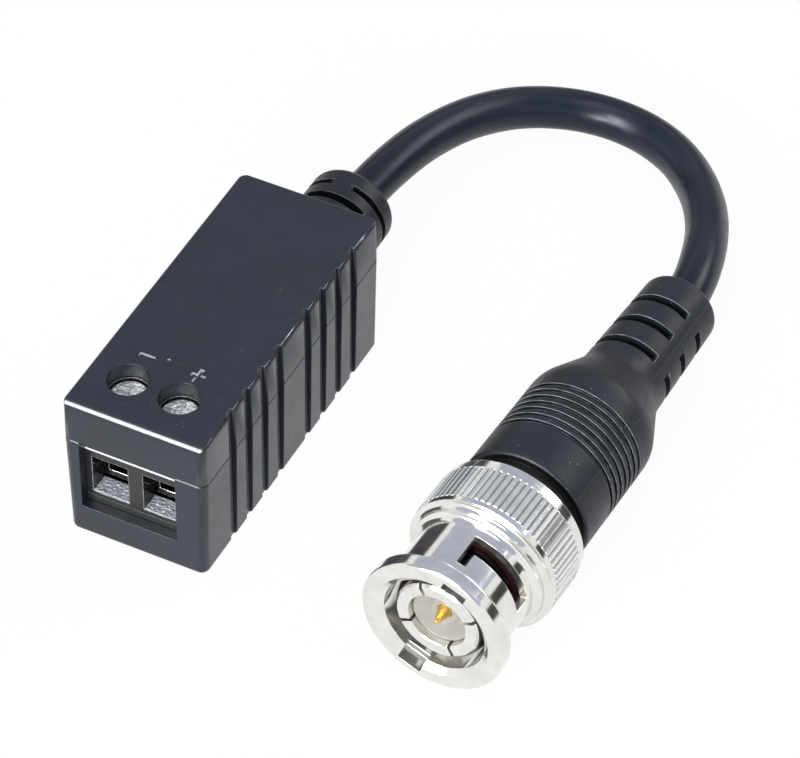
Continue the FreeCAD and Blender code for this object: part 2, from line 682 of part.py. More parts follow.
def top_cover():
    body = box_shell("top_cover", JOINT, LID)
    soften_edges(body, "lid_edges", "Fillet", "lid_edge_round", level_at(size("box_height")))
    front_edge(body)
    pocket(body, "upper_cavity", "XY_Plane", "parting_height", "lid_underside - parting_height",
           CAVITY, towards=1)
    drill(body, "screw_access", "XY_Plane", "box_height + overcut", "lid_thickness + 2 * overcut",
          [(f"block_x {side} pole_pitch / 2", "pole_y", "access_radius") for side in "-+"],
          towards=-1)
    cut_grips(body, "parting_height", "box_height")
    rib_out = "cavity_half_width - rib_gap"
    rib = pad(body, "rib", "XY_Plane", "parting_height - rib_reach",
              "lid_underside - parting_height + rib_reach + root_depth",
              box_corners(f"{rib_out} - rib_thickness", rib_out, "block_rear + rib_setback",
                          "block_rear + rib_setback + rib_length"))
    doc.recompute()
    ribs = body.newObject("PartDesign::Mirrored", "ribs")
    ribs.Originals = [rib]
    ribs.MirrorPlane = (rib.Profile[0], ["V_Axis"])
    body.Tip = ribs
    pad(body, "saddle", "XZ_Plane", "box_length / 2 - rear_wall", "rear_wall",
        box_corners("-neck_radius", "neck_radius", "cable_height + saddle_rise",
                    "parting_height + root_depth"))
    drill(body, "saddle_seat", "XZ_Plane", "box_length / 2 - rear_wall - overcut", "rear_wall + 2 * overcut",
          [("0", "cable_height", "neck_radius + saddle_gap")])


def terminal_block():
    body = add_body("terminal_block")
    place(body, "block_x")
    pad(body, "block_section", "YZ_Plane", "-block_width / 2", "block_width",
        [("block_front", "board_top"), ("block_rear", "board_top"), ("block_rear", "block_top"),
         ("block_front + block_slope_run", "block_top"), ("block_front", "board_top + block_face_height")])
    poles = [f"({side}pole_pitch / 2)" for side in ("-", "")]
    for pole, x in zip(("minus", "plus"), poles):
        half = "(cage_width / 2 + cage_side_gap)"
        slot = "(bar_width / 2 + bar_slot_gap)"
        pocket(body, f"mouth_{pole}", "XZ_Plane", "block_front - overcut",
               "mouth_depth + cage_gap + overcut",
               box_corners(f"{x} - mouth_width / 2", f"{x} + mouth_width / 2",
                           "board_top + mouth_sill", "board_top + mouth_sill + mouth_height"))
        pocket(body, f"cage_well_{pole}", "XY_Plane", "board_top - overcut",
               "well_top - board_top + overcut",
               box_corners(f"{x} - {half}", f"{x} + {half}",
                           "cage_front - cage_gap", "cage_rear + cage_gap"))
        pocket(body, f"bar_slot_{pole}", "XY_Plane", "board_top - overcut",
               "bar_top + bar_slot_gap - board_top + overcut",
               box_corners(f"{x} - {slot}", f"{x} + {slot}",
                           "cage_rear - cage_gap", "leg_rear + bar_slot_gap"))
    drill(body, "head_wells", "XY_Plane", "block_top + overcut", "block_top - seat_top + overcut",
          [(x, "pole_y", "head_well_radius") for x in poles], towards=-1)
    drill(body, "shank_holes", "XY_Plane", "block_top + overcut", "block_top - well_top + 2 * overcut",
          [(x, "pole_y", "shank_radius + seat_gap") for x in poles], towards=-1)


def clamp_cage(label, side):
    body = add_body(label)
    place(body, f"block_x {side} pole_pitch / 2")
    pad(body, label + "_block", "XZ_Plane", "cage_front", "cage_depth",
        box_corners("-cage_width / 2", "cage_width / 2", "cage_bottom", "cage_crown"))
    half = "(cage_width / 2 - cage_wall)"
    pocket(body, label + "_window", "XZ_Plane", "cage_front - overcut", "cage_depth + 2 * overcut",
           box_corners(f"-{half}", half, "cage_bottom + cage_floor", "cage_window_top"))
    drill(body, label + "_thread", "XY_Plane", "cage_crown + overcut", "cage_top + 2 * overcut",
          [("0", "pole_y", "shank_radius + thread_gap")], towards=-1)


def contact_bar(label, side):
    body = add_body(label)
    place(body, f"block_x {side} pole_pitch / 2")
    pad(body, label + "_bar", "YZ_Plane", "-bar_width / 2", "bar_width",
        [("cage_front + bar_gap", "bar_bottom"), ("leg_front", "bar_bottom"), ("leg_front", "board_top"),
         ("leg_rear", "board_top"), ("leg_rear", "bar_top"), ("cage_front + bar_gap", "bar_top")])
    pad(body, label + "_pin", "XY_Plane", "board_top + root_depth",
        "board_thickness + pin_reach + root_depth",
        box_corners("-pin_width / 2", "pin_width / 2", "leg_front", "leg_rear"), towards=-1)


def terminal_screw(label, side):
    body = add_body(label)
    place(body, f"block_x {side} pole_pitch / 2", "pole_y")
    foot, crown = "bar_top + cage_side_gap", "head_bottom + head_height"
    turn_profile(body, label + "_blank",
                 [("0", foot), ("shank_radius - shank_point", foot),
                  ("shank_radius", f"{foot} + shank_point"), ("shank_radius", "head_bottom"),
                  ("head_radius", "head_bottom"), ("head_radius", f"{crown} - head_bevel"),
                  ("head_radius - head_bevel", crown), ("0", crown)],
                 plane="XZ_Plane")
    for turn, axis in enumerate("xy"):
        long_half, short_half = "recess_length / 2", "recess_width / 2"
        across = (long_half, short_half) if turn == 0 else (short_half, long_half)
        pocket(body, f"{label}_slot_{axis}", "XY_Plane", f"{crown} + overcut", "recess_depth + overcut",
               box_corners(f"-{across[0]}", across[0], f"-{across[1]}", across[1]), towards=-1)


def circuit_board():
    body = add_body("circuit_board")
    pad(body, "board_blank", "XY_Plane", "board_underside", "board_thickness",
        box_corners("-board_half_width", "board_half_width", "block_front", "block_front + board_length"))
    drill(body, "solder_holes", "XY_Plane", "board_top + overcut", "board_thickness + 2 * overcut",
          [(f"block_x {side} pole_pitch / 2", "(leg_front + leg_rear) / 2", "solder_hole_radius")
           for side in "-+"], towards=-1)


def ferrite_toroid():
    body = add_body("ferrite_toroid")
    place(body, "0", "core_y", "board_top + wire_size + wire_gap")
    turn_profile(body, "core_section", box_corners("core_hole_radius", "core_radius", "0", "core_height"),
                 plane="XZ_Plane")
    flat = (level_at(0.0), level_at(size("core_height")))
    soften_edges(body, "core_edges", "Fillet", "core_edge_round",
                 lambda edge: any(test(edge) for test in flat))


def winding(label, first_angle):
    """One wire wound round the core's section, turn after turn."""
    wire = size("wire_size")
    inner = size("core_hole_radius") - size("wire_gap") - wire / 2
    outer = size("core_radius") + size("wire_gap") + wire / 2
    low = wire / 2
    high = wire + size("core_height") + 2 * size("wire_gap") + wire / 2
    pitch = size("wire_pitch")
    turns = int(size("wire_turns"))

    def spot(radius, angle, height):
        return Vector(radius * math.cos(math.radians(angle)), radius * math.sin(math.radians(angle)), height)

    def post(radius, angle):
        stick = Part.makeBox(wire, wire, high - low + wire, Vector(-wire / 2, -wire / 2, low - wire / 2))
        stick.Placement = Placement(spot(radius, angle, 0), Rotation(Vector(0, 0, 1), angle))
        return stick

    def run(start, end):
        along = end - start
        stick = Part.makeBox(along.Length + wire, wire, wire, Vector(-wire / 2, -wire / 2, -wire / 2))
        heading = math.degrees(math.atan2(along.y, along.x))
        stick.Placement = Placement(start, Rotation(Vector(0, 0, 1), heading))
        return stick

    sticks = []
    for turn in range(turns):
        angle = first_angle + turn * pitch
        sticks += [post(inner, angle), post(outer, angle)]
        sticks.append(run(spot(inner, angle, low), spot(outer, angle, low)))
        if turn < turns - 1:
            sticks.append(run(spot(outer, angle, high), spot(inner, angle + pitch, high)))
    last = first_angle + (turns - 1) * pitch
    for angle in (first_angle, last):
        sticks.append(run(spot(outer, angle, low), spot(outer + size("lead_reach"), angle, low)))
    shape = sticks[0].multiFuse(sticks[1:]).removeSplitter()
    add_shape(label, shape.Solids[0] if len(shape.Solids) == 1 else shape,
              Placement(Vector(0, size("core_y"), size("board_top")), Rotation()))


def chip_capacitor(label, side):
    body = add_body(label)
    place(body, f"{side}chip_x", "chip_y", "board_top")
    half, step = "chip_length / 2", "chip_cap_step"
    pad(body, label + "_caps", "XZ_Plane", "-chip_width / 2", "chip_width",
        box_corners(f"-{half}", half, "0", "chip_height"))
    waist = f"({half} - chip_cap)"
    pocket(body, label + "_top", "XY_Plane", f"chip_height + {step}", f"2 * {step}",
           box_corners(f"-{waist}", waist, "-chip_width", "chip_width"), towards=-1)


def surge_suppressor():
    body = add_body("surge_suppressor")
    place(body, "0", "diode_y", "board_top")
    half = "diode_length / 2"
    pad(body, "suppressor_section", "XZ_Plane", "-diode_width / 2", "diode_width",
        [(f"-{half} - diode_lead", "0"), (f"{half} + diode_lead", "0"),
         (f"{half} + diode_lead", "diode_lead_height"), (half, "diode_lead_height"),
         (f"{half} - diode_draft", "diode_height"), (f"-{half} + diode_draft", "diode_height"),
         (f"-{half}", "diode_lead_height"), (f"-{half} - diode_lead", "diode_lead_height")])


def rear_strain_relief():
    body = add_body("rear_strain_relief")
    place(body, "0", "box_length / 2", "cable_height")
    turn_profile(body, "relief_section",
                 [("cable_radius", "-rear_wall - flange_thickness"),
                  ("flange_radius", "-rear_wall - flange_thickness"),
                  ("flange_radius", "-rear_wall"), ("neck_radius", "-rear_wall"), ("neck_radius", "0"),
                  ("relief_radius", "0"), ("relief_end_radius", "relief_length"),
                  ("cable_radius", "relief_length")])
    soften_edges(body, "relief_end", "Fillet", "relief_end_round",
                 ring_at((size("relief_end_radius"), size("relief_length"))))
    for name, middle in (("a", "90"), ("b", "0")):
        start = f"relief_slot_{name}"
        span = f"relief_slot_{name}_span"
        cut = turn_profile(body, f"relief_slots_{name}",
                           box_corners("relief_slot_floor", "relief_radius + overcut", start,
                                       f"{start} + relief_slot_{name}_width"),
                           kind="Groove", span=span, start=f"{middle} + {span} / 2")
        polar(body, f"relief_slot_pair_{name}", cut, "V_Axis", "2")


def plug_body():
    body = add_body("plug_body")
    place_on_plug(body)
    turn_profile(body, "plug_section",
                 [("finger_bore", "finger_front"), ("finger_radius - finger_chamfer", "finger_front"),
                  ("finger_radius", "finger_front + finger_chamfer"), ("finger_radius", "finger_end"),
                  ("gasket_seat_radius", "finger_end"), ("gasket_seat_radius", "flange_front"),
                  ("nut_bore - shoulder_gap", "flange_front"), ("nut_bore - shoulder_gap", "wave_front"),
                  ("sleeve_radius", "wave_front"), ("sleeve_radius", "snap_front"),
                  ("snap_inner", "snap_front"), ("snap_inner", "snap_front + snap_thickness"),
                  ("sleeve_radius", "snap_front + snap_thickness"),
                  ("sleeve_radius", "sleeve_end"), ("stem_radius", "sleeve_end"), ("stem_radius", "stem_end"),
                  ("stem_bore", "stem_end"), ("stem_bore", "seat_end"), ("seat_bore", "seat_end"),
                  ("seat_bore", "seat_start"), ("finger_bore", "seat_start")])
    slit = pocket(body, "slit", "XZ_Plane", "finger_front - overcut", "slit_end - finger_front + overcut",
                  box_corners("finger_bore - overcut", "finger_radius + overcut",
                              "-slit_width / 2", "slit_width / 2"), turn="slit_angle")
    polar(body, "slits", slit, "N_Axis", "finger_count")


def insulator():
    body = add_body("insulator")
    place_on_plug(body)
    bore = "(contact_radius + contact_gap)"
    rear_bore = "(contact_collar_radius + contact_gap)"
    floor = "(insulator_front + cone_depth)"
    step, end = "seat_start - insulator_end_gap", "seat_end - insulator_end_gap"
    collar = "contact_collar_start - insulator_end_gap"
    turn_profile(body, "insulator_section",
                 [("cone_radius", "insulator_front"), ("insulator_radius", "insulator_front"),
                  ("insulator_radius", step), ("insulator_rear_radius", step),
                  ("insulator_rear_radius", end), (rear_bore, end), (rear_bore, collar), (bore, collar),
                  (bore, floor), ("cone_floor_radius", floor)])


def center_pin():
    body = add_body("center_pin")
    place_on_plug(body)
    turn_profile(body, "pin_section",
                 [("0", "contact_front"), ("contact_tip_radius", "contact_front"),
                  ("contact_radius", "contact_taper_end"), ("contact_radius", "contact_collar_start"),
                  ("contact_collar_radius", "contact_collar_start"), ("contact_collar_radius", "contact_end"),
                  ("0", "contact_end")])


def turned_ring(label, inner, outer, front, length, span="360"):
    body = add_body(label)
    place_on_plug(body)
    turn_profile(body, label + "_section", box_corners(inner, outer, front, f"{front} + {length}"), span=span)


POINTS_PER_WAVE = 8


def wave_washer():
    """Closed strip whose height follows a cosine around the axis."""
    front = size("wave_front")
    height, strip = size("wave_height"), size("wave_thickness")
    waves = int(size("wave_count"))
    steps = POINTS_PER_WAVE * waves

    def rim(radius, lift):
        points = []
        for i in range(steps):
            angle = math.tau * i / steps
            rise = (height - strip) * (1 - math.cos(waves * angle)) / 2
            points.append(Vector(radius * math.cos(angle), front + lift + rise, radius * math.sin(angle)))
        curve = Part.BSplineCurve()
        curve.interpolate(points, PeriodicFlag=True)
        return curve.toShape()

    rims = [rim(size("wave_inner"), 0), rim(size("wave_outer"), 0),
            rim(size("wave_outer"), strip), rim(size("wave_inner"), strip)]
    faces = [Part.makeRuledSurface(rims[i], rims[(i + 1) % 4]) for i in range(4)]
    shell = Part.makeShell([face for ruled in faces for face in ruled.Faces])
    shell.sewShape()
    solid = Part.makeSolid(shell)
    if solid.Volume < 0:
        solid.reverse()
    piece = add_shape("wave_washer", solid)
    place_on_plug(piece)


def coupling_nut():
    body = add_body("coupling_nut")
    place_on_plug(body)
    web_bore = "(sleeve_radius + web_gap)"
    turn_profile(body, "nut_section",
                 [("mouth_radius", "nut_face"), ("ring_radius", "nut_face"), ("ring_radius", "ring_rear"),
                  ("drum_radius", "ring_rear"), ("drum_radius", "step_start"), ("step_radius", "step_start"),
                  ("step_radius", "collar_start"), ("collar_radius", "collar_start"),
                  ("collar_radius", "knurl_start"), ("knurl_radius", "knurl_start"),
                  ("knurl_radius", "knurl_end"),
                  ("collar_radius", "knurl_end"), ("lip_radius", "nut_rear"), ("rear_bore", "nut_rear"),
                  ("rear_bore", "web_rear"), (web_bore, "web_rear"), (web_bore, "web_front"),
                  ("nut_bore", "web_front"), ("nut_bore", "nut_face + mouth_flare")])
    ring, drum = size("ring_radius"), size("drum_radius")
    soften_edges(body, "ring_rounds", "Fillet", "ring_edge_round",
                 ring_at((ring, size("nut_face")), (ring, size("ring_rear"))))
    soften_edges(body, "ring_cove", "Fillet", "ring_cove_round", ring_at((drum, size("ring_rear"))))
    soften_edges(body, "drum_cove", "Fillet", "drum_cove_round", ring_at((drum, size("step_start"))))
    soften_edges(body, "collar_cove", "Fillet", "collar_cove_round",
                 ring_at((size("step_radius"), size("collar_start"))))
    for name, floor, depth in (("ring", "keyway_ring_radius", "keyway_ring_depth"),
                               ("drum", "keyway_drum_radius", "cam_front + cam_width / 2 - nut_face")):
        entry = pocket(body, f"keyway_{name}", "XZ_Plane", "nut_face - overcut", f"{depth} + overcut",
                       box_corners("nut_bore - overcut", floor, "-keyway_width / 2", "keyway_width / 2"),
                       turn="keyway_angle")
        polar(body, f"keyways_{name}", entry, "N_Axis", "2")
    through = ("nut_bore - overcut", "drum_radius + overcut")
    cam = turn_profile(body, "cam_slot", box_corners(*through, "cam_front", "cam_front + cam_width"),
                       kind="Groove", span="cam_span", start="cam_angle")
    polar(body, "cam_slots", cam, "V_Axis", "2")
    detent = turn_profile(body, "detent",
                          box_corners(*through, "cam_front - detent_depth", "cam_front + root_depth"),
                          kind="Groove", span="detent_span", start="cam_angle")
    polar(body, "detents", detent, "V_Axis", "2")
    groove = pocket(body, "knurl_groove", "XZ_Plane", "knurl_start", "knurl_length",
                    [("knurl_radius - knurl_depth", "0"),
                     ("knurl_radius + knurl_depth", "-2 * knurl_half_width"),
                     ("knurl_radius + knurl_depth", "2 * knurl_half_width")])
    polar(body, "knurl", groove, "N_Axis", "knurl_count")


def crimp_ferrule():
    body = add_body("crimp_ferrule")
    place_on_plug(body)
    turn_profile(body, "ferrule_section",
                 [("ferrule_bore", "ferrule_start"), ("ferrule_radius", "ferrule_start"),
                  ("ferrule_radius", "ferrule_end"), ("cable_radius", "ferrule_end"),
                  ("cable_radius", "jacket_end"), ("ferrule_bore", "jacket_end")])


def connector_boot():
    body = add_body("connector_boot")
    place_on_plug(body)
    bore = "(ferrule_radius + boot_bore_gap)"
    turn_profile(body, "boot_section",
                 [(bore, "boot_start"), ("boot_collar_radius", "boot_start"),
                  ("boot_collar_radius", "boot_barrel_start"), ("boot_radius", "boot_barrel_start"),
                  ("boot_rear_radius", "boot_shoulder"), ("boot_tail_radius", "boot_tail_start"),
                  ("boot_end_radius", "boot_end"), ("cable_radius", "boot_end"),
                  ("cable_radius", "ferrule_end"), (bore, "ferrule_end")])
    soften_edges(body, "shoulder_curves", "Fillet", "boot_shoulder_round",
                 ring_at((size("boot_rear_radius"), size("boot_shoulder")),
                         (size("boot_tail_radius"), size("boot_tail_start"))))
    soften_edges(body, "boot_front_edge", "Fillet", "boot_edge_round",
                 ring_at((size("boot_radius"), size("boot_barrel_start"))))
    soften_edges(body, "boot_end_edge", "Fillet", "boot_end_round",
                 ring_at((size("boot_end_radius"), size("boot_end"))))
    ring = turn_profile(body, "boot_ring",
                        box_corners("boot_rear_radius - boot_ring_depth", "boot_radius + overcut",
                                    "boot_ring_start", "boot_ring_start + boot_ring_width"), kind="Groove")
    step_row(body, "boot_rings", ring, "V_Axis", "boot_ring_pitch", "boot_ring_count")
    slot = turn_profile(body, "boot_slot",
                        box_corners("boot_slot_floor", "boot_tail_radius + overcut",
                                    "boot_slot_start", "boot_slot_start + boot_slot_width"),
                        kind="Groove", span="boot_slot_span", start="boot_slot_angle + boot_slot_span / 2")
    doc.recompute()
    slots = doc.addObject("PartDesign::MultiTransform", "boot_slots")
    body.addObject(slots)
    slots.Originals = [slot]
    row = doc.addObject("PartDesign::LinearPattern", "boot_slot_row")
    row.Direction = (origin_part(body, "Y_Axis"), [""])
    bind(row, "Length", "boot_slot_pitch * (boot_slot_count - 1)")
    bind(row, "Occurrences", "boot_slot_count")
    pair = doc.addObject("PartDesign::PolarPattern", "boot_slot_pair")
    pair.Axis = (origin_part(body, "Y_Axis"), [""])
    pair.Angle = 360
    pair.Occurrences = 2
    for step in (row, pair):
        body.addObject(step)
    slots.Transformations = [row, pair]
    body.Tip = slots


def tube_along(points, radius, share=ARC_SHARE):
    """Round tube on straight runs joined by tangent arcs; returns it with its arc radii and length."""
    edges, radii = [], []
    last = points[0]
    for before, corner, after in zip(points, points[1:], points[2:]):
        back, ahead = before - corner, after - corner
        turn = math.pi - back.getAngle(ahead)
        reach = share * min(back.Length, ahead.Length)
        bend = reach / math.tan(turn / 2)
        start = corner + back.normalize() * reach
        end = corner + ahead.normalize() * reach
        inward = (back + ahead).normalize()
        middle = corner + inward * (math.hypot(reach, bend) - bend)
        edges.append(Part.LineSegment(last, start).toShape())
        edges.append(Part.Arc(start, middle, end).toShape())
        radii.append(bend)
        last = end
    edges.append(Part.LineSegment(last, points[-1]).toShape())
    path = Part.Wire(edges)
    section = Part.Wire([Part.makeCircle(radius, points[0], points[1] - points[0])])
    return path.makePipeShell([section], True, False), radii, path.Length


def cable():
    points = [Vector(*point) for point in CABLE_ROUTE]
    radius = size("cable_radius")
    solid, radii, length = tube_along(points, radius)
    expected = math.pi * radius ** 2 * length
    print("cable length", round(length, 2), "volume share", round(solid.Volume / expected, 5))
    print("cable radii", [round(bend, 1) for bend in radii])
    add_shape("cable", solid)


def board_lead(label, x, land_y, radius):
    """Inner lead: out of the jacket along -Y, then down onto the board."""
    start = Vector(x, size("jacket_start_y"), size("cable_height"))
    bend = size("lead_bend")
    turn = Vector(x, land_y + bend, start.z)
    down = Vector(x, land_y, start.z - bend)
    half_way = bend * (1 - math.sin(math.pi / 4))
    middle = Vector(x, land_y + half_way, start.z - half_way)
    path = Part.Wire([Part.LineSegment(start, turn).toShape(), Part.Arc(turn, middle, down).toShape(),
                      Part.LineSegment(down, Vector(x, land_y, size("board_top"))).toShape()])
    section = Part.Wire([Part.makeCircle(radius, start, Vector(0, -1, 0))])
    add_shape(label, path.makePipeShell([section], True, False))


def plug_core():
    body = add_body("cable_core_plug_end")
    place_on_plug(body)
    turn_profile(body, "plug_core_section", box_corners("0", "plug_core_radius", "contact_end", "jacket_end"))


bottom_housing()
top_cover()
terminal_block()
for label, side in (("minus", "-"), ("plus", "+")):
    clamp_cage(f"clamp_cage_{label}", side)
    contact_bar(f"contact_bar_{label}", side)
    terminal_screw(f"terminal_screw_{label}", side)
circuit_board()
ferrite_toroid()
winding("winding_primary", size("wire_start"))
winding("winding_secondary", size("wire_start") + 180)
chip_capacitor("capacitor_input", "-")
chip_capacitor("capacitor_output", "")
surge_suppressor()
rear_strain_relief()
cable()
board_lead("cable_core_box_end", 0, size("core_lead_y"), size("dielectric_radius"))
board_lead("cable_braid_box_end", size("braid_offset"), size("braid_lead_y"), size("braid_radius"))
plug_core()
plug_body()
insulator()
center_pin()
turned_ring("gasket", "gasket_seat_radius + gasket_gap", "gasket_radius", "gasket_front", "gasket_length")
turned_ring("thrust_washer", "thrust_inner", "thrust_outer", "thrust_front", "thrust_thickness")
turned_ring("retaining_ring", "snap_inner", "snap_outer", "snap_front", "snap_thickness", "snap_span")
wave_washer()
coupling_nut()
crimp_ferrule()
connector_boot()
doc.recompute()

# Every object has to be sound, and every cut has to remove material
faults = [f"{thing.Name}: {thing.State}" for thing in doc.Objects
          if "Invalid" in thing.State or "Error" in thing.State]
for thing in doc.Objects:
    if thing.TypeId in ("PartDesign::Pocket", "PartDesign::Groove"):
        if thing.Shape.Volume > thing.BaseFeature.Shape.Volume - NEAR:
            faults.append(f"{thing.Name} cuts nothing")
for piece in PIECES:
    if piece.Shape.isNull() or not piece.Shape.isValid() or not piece.Shape.Solids:
        faults.append(f"{piece.Label} has no sound shape")
if faults:
    raise RuntimeError("; ".join(faults))

os.makedirs("parts", exist_ok=True)
for piece in PIECES:
    piece.Shape.exportStep(f"parts/{piece.Label}.step")
print("pieces", len(PIECES))
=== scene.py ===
import json
import math

import bmesh
import bpy
from mathutils import Matrix, Vector, noise


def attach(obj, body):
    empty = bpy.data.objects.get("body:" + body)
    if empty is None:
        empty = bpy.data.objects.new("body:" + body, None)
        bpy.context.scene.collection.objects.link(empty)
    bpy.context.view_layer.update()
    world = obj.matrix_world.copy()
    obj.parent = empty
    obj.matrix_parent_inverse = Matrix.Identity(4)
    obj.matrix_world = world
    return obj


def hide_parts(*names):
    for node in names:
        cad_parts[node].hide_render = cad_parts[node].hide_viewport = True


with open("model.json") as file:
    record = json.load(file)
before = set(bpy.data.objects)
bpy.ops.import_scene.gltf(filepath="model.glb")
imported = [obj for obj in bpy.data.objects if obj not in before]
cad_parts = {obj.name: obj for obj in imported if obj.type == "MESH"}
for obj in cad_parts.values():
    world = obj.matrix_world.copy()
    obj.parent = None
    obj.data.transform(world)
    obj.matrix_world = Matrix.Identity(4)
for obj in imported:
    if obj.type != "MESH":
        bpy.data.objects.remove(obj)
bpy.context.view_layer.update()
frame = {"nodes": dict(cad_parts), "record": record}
nodes = frame["nodes"]
MM = 0.001

# Place of the plug: centre of its face, and the turn of its axis away from Y
PLUG_FACE = Vector((30.02, -18.3, 7.15)) * MM
PLUG_TURN = math.radians(-3.15)

# Radii and stations behind the plug's face, which its finishes and its painted shade follow
BORE_RADIUS = 5.0 * MM
BORE_SHADE_START = 3.2 * MM
KNURL_FLOOR = 7.05 * MM
KNURL_START = 8.67 * MM
KNURL_END = 12.63 * MM
BARREL_START = 15.63 * MM
MOULD_LINE = math.radians(35)

# Places on the box that its finishes and their painted light follow
GROOVE_FLOOR = (6.25 * MM, 6.70 * MM)
TOP_EDGE = 14.7 * MM
BLOCK_BEND = 9.64 * MM
BLOCK_FACE = -14.9 * MM

# Colours painted in as light and shade: lit groove floors, highlights on edges and on the block's
# bend, shade in the bore and in the boot's neck
GROOVE_FLOOR_LIGHT = (0.12, 0.124, 0.13)
EDGE_HIGHLIGHT_GREY = (0.42, 0.43, 0.45)
BEND_HIGHLIGHT_GREY = (0.78, 0.79, 0.81)
PAINTED_BORE_SHADE = (0.01, 0.01, 0.01)
PAINTED_NECK_SHADE = (0.001, 0.001, 0.0012)

# Directions from which the painted highlights on edges seem lit
BOX_HIGHLIGHT_WAY = Vector((0, -0.7071, 0.7071))
BOOT_HIGHLIGHT_WAY = Vector((-0.10, -0.72, 0.69))

# camera
AZIMUTH = math.radians(26.806)
ELEVATION = math.radians(44.643)
ROLL = math.radians(0.117)
DISTANCE = 413.484 * MM
TARGET = Vector((13.670, 7.558, 6.300)) * MM
LENS = 207.782
SENSOR = 36.0

back = Vector((math.sin(AZIMUTH) * math.cos(ELEVATION),
               -math.cos(AZIMUTH) * math.cos(ELEVATION),
               math.sin(ELEVATION)))
camera_data = bpy.data.cameras.new("camera")
camera_data.lens = LENS
camera_data.sensor_width = SENSOR
camera_data.clip_start = 0.01
camera_data.clip_end = 10.0
camera = bpy.data.objects.new("camera", camera_data)
bpy.context.scene.collection.objects.link(camera)
right = Vector((0, 0, 1)).cross(back).normalized()
up = back.cross(right)
turned_right = math.cos(ROLL) * right + math.sin(ROLL) * up
turned_up = -math.sin(ROLL) * right + math.cos(ROLL) * up
camera.matrix_world = (Matrix.Translation(TARGET + back * DISTANCE)
                       @ Matrix((turned_right, turned_up, back)).transposed().to_4x4())
bpy.context.scene.camera = camera
bpy.context.scene.view_settings.view_transform = "Standard"


# node helpers
BEVEL_SAMPLES = 6
EDGE_ROUND = 0.13 * MM


class Nodes:
    """Builds the nodes of one tree."""

    def __init__(self, tree):
        self.tree = tree

    def node(self, kind, *inputs, **settings):
        """New node with its settings, and its inputs linked or set."""
        made = self.tree.nodes.new(kind)
        for key, value in settings.items():
            setattr(made, key, value)
        for key, value in inputs:
            socket = made.inputs[key]
            if hasattr(value, "is_output"):
                self.tree.links.new(value, socket)
            else:
                socket.default_value = value
        return made

    def math(self, operation, a, b=0.0, **settings):
        return self.node("ShaderNodeMath", (0, a), (1, b), operation=operation,
                         **settings).outputs[0]

    def dot(self, a, b):
        return self.node("ShaderNodeVectorMath", (0, a), (1, b),
                         operation="DOT_PRODUCT").outputs["Value"]

    def split(self, vector):
        return self.node("ShaderNodeSeparateXYZ", ("Vector", vector)).outputs

    def spread(self, value, low, high, to_low=0.0, to_high=1.0):
        return self.node("ShaderNodeMapRange", ("Value", value), ("From Min", low),
                         ("From Max", high), ("To Min", to_low),
                         ("To Max", to_high)).outputs["Result"]

    def above(self, value, limit, fade):
        return self.spread(value, limit - fade, limit + fade)

    def below(self, value, limit, fade):
        return self.spread(value, limit - fade, limit + fade, 1.0, 0.0)

    def between(self, value, low, high, fade):
        return self.math("MULTIPLY", self.above(value, low, fade), self.below(value, high, fade))

    def blend(self, share, a, b):
        """Mix of two colours, each a socket or three numbers."""
        a, b = (value if hasattr(value, "is_output") else (*value, 1.0) for value in (a, b))
        return self.node("ShaderNodeMix", ("Factor", share), (6, a), (7, b),
                         data_type="RGBA").outputs[2]


